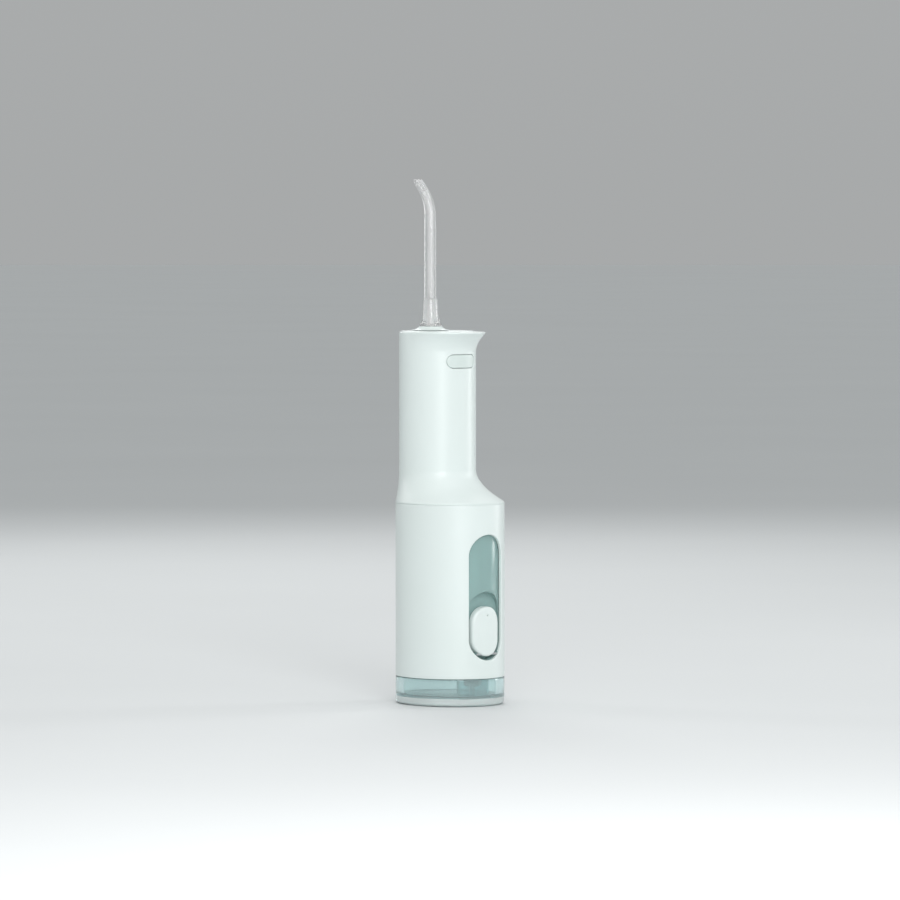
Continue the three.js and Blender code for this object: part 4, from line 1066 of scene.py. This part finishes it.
finish_piece(make_sleeve(), WHITE, "tank", "body_white", "tank_sleeve")
finish_piece(make_vessel(), None, "tank", "tank_clear", "tank_vessel")
finish_piece(make_well(), WELL_CLEAR, "tank", "tank_clear")
for side in (-1, 1):
    finish_piece(make_lug(side), TANK_CLEAR, "tank", "tank_clear")
cap = pad("filler_lid", *CAP_SHAPE, BACK, 0, CAP_EDGE,
          back_y=CAP_LOW[1], hole=(VENT_Z, VENT_RADIUS), sunk=CAP_SUNK)
finish_piece(cap, WHITE, "filler_cap", "body_white", "filler_cap")
finish_piece(make_collar(), WHITE, "swivel", "body_white", "swivel_ring")
finish_piece(make_nozzle_base(), None, "nozzle", "nozzle_clear", "nozzle_base")
finish_piece(make_nozzle_tube(), None, "nozzle", "nozzle_clear", "nozzle_tube")

INNER_MATERIALS = (
    (SILICONE, ("cap_seal", "plug_seal", "nozzle_seal", "pressure_hose")),
    (STEEL, ("cap_hinge_pin", "plug_screw_1", "plug_screw_2", "plug_screw_3", "plug_screw_4", "gear_axle",
             "motor_shaft", "inlet_ball", "release_spring", "usb_socket")),
    (MOTOR_STEEL, ("motor",)),
    (BRASS, ("pinion",)),
    (ACETAL, ("drive_gear", "connecting_rod", "piston")),
    (INNER_GREY, ("tank_plug", "pump_body", "chassis", "nozzle_seat", "latch_plate")),
    (CELL_WRAP, ("battery_cell",)),
    (BOARD, ("circuit_board",)),
    (SWITCH_BLACK, ("power_switch", "mode_switch")),
    (LIGHT_CLEAR, ("light_guide",)),
    (NOZZLE_CLEAR, ("suction_tube",)),
    (STRAINER_CLEAR, ("strainer",)),
)
for material, nodes in INNER_MATERIALS:
    for node in nodes:
        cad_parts[node].data.materials.clear()
        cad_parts[node].data.materials.append(material)


# ------------------------------------------------------------------ camera, lights and floor
def look_from(azimuth, elevation, obj, distance):
    """Puts a camera or a light round the object and turns it to look there."""
    turn, rise = math.radians(azimuth), math.radians(elevation)
    away = Vector((math.sin(turn) * math.cos(rise), -math.cos(turn) * math.cos(rise), math.sin(rise)))
    obj.location = Vector((0, 0, LOOK_HEIGHT)) + away * distance
    obj.rotation_euler = (-away).to_track_quat("-Z", "Y").to_euler()


def make_camera():
    """The camera at the main view."""
    data = bpy.data.cameras.new("camera")
    data.sensor_width = SENSOR
    data.lens = SENSOR * CAMERA_DISTANCE / FRAME_HEIGHT
    data.clip_end = CAMERA_REACH
    camera = bpy.data.objects.new("camera", data)
    bpy.context.scene.collection.objects.link(camera)
    bpy.context.scene.camera = camera
    look_from(CAMERA_AZIMUTH, CAMERA_ELEVATION, camera, CAMERA_DISTANCE)


def area_light(name, azimuth, elevation, distance, size, power):
    """A soft rectangular light aimed at the object."""
    data = bpy.data.lights.new(name, "AREA")
    data.shape = "RECTANGLE"
    data.size, data.size_y = size
    data.energy = power
    light = bpy.data.objects.new(name, data)
    bpy.context.scene.collection.objects.link(light)
    look_from(azimuth, elevation, light, distance)


def make_floor():
    """A wide pale floor just below the object."""
    bpy.ops.mesh.primitive_plane_add(size=FLOOR_SIZE, location=(0, 0, -FLOOR_DROP))
    floor = bpy.context.active_object
    floor.name = "floor"
    material = new_material("floor_pale", FLOOR_COLOUR, FLOOR_ROUGHNESS)
    darker = tuple(FLOOR_DRIFT * c for c in FLOOR_COLOUR)
    vary_colour(material, noise(material, scale=3), FLOOR_COLOUR, darker)
    floor.data.materials.append(material)


def make_sky():
    """A soft sky that is as bright as the floor at the horizon, and brighter above."""
    world = bpy.data.worlds.new("world")
    world.use_nodes = True
    nodes, links = world.node_tree.nodes, world.node_tree.links
    place = nodes.new("ShaderNodeTexCoord")
    split = nodes.new("ShaderNodeSeparateXYZ")
    height = nodes.new("ShaderNodeMapRange")
    height.inputs["From Max"].default_value = SKY_TURN
    height.inputs["To Min"].default_value = SKY_LOW
    height.inputs["To Max"].default_value = SKY_HIGH
    links.new(place.outputs["Generated"], split.inputs["Vector"])
    links.new(split.outputs["Z"], height.inputs["Value"])
    links.new(height.outputs["Result"], nodes["Background"].inputs["Strength"])
    nodes["Background"].inputs["Color"].default_value = (*SKY_COLOUR, 1)
    bpy.context.scene.world = world


bpy.context.scene.view_settings.view_transform = "Standard"
make_camera()
make_floor()
make_sky()
for name, turn, elevation, distance, size, power in LIGHTS:
    area_light(name, CAMERA_AZIMUTH + turn, elevation, distance, size, power)
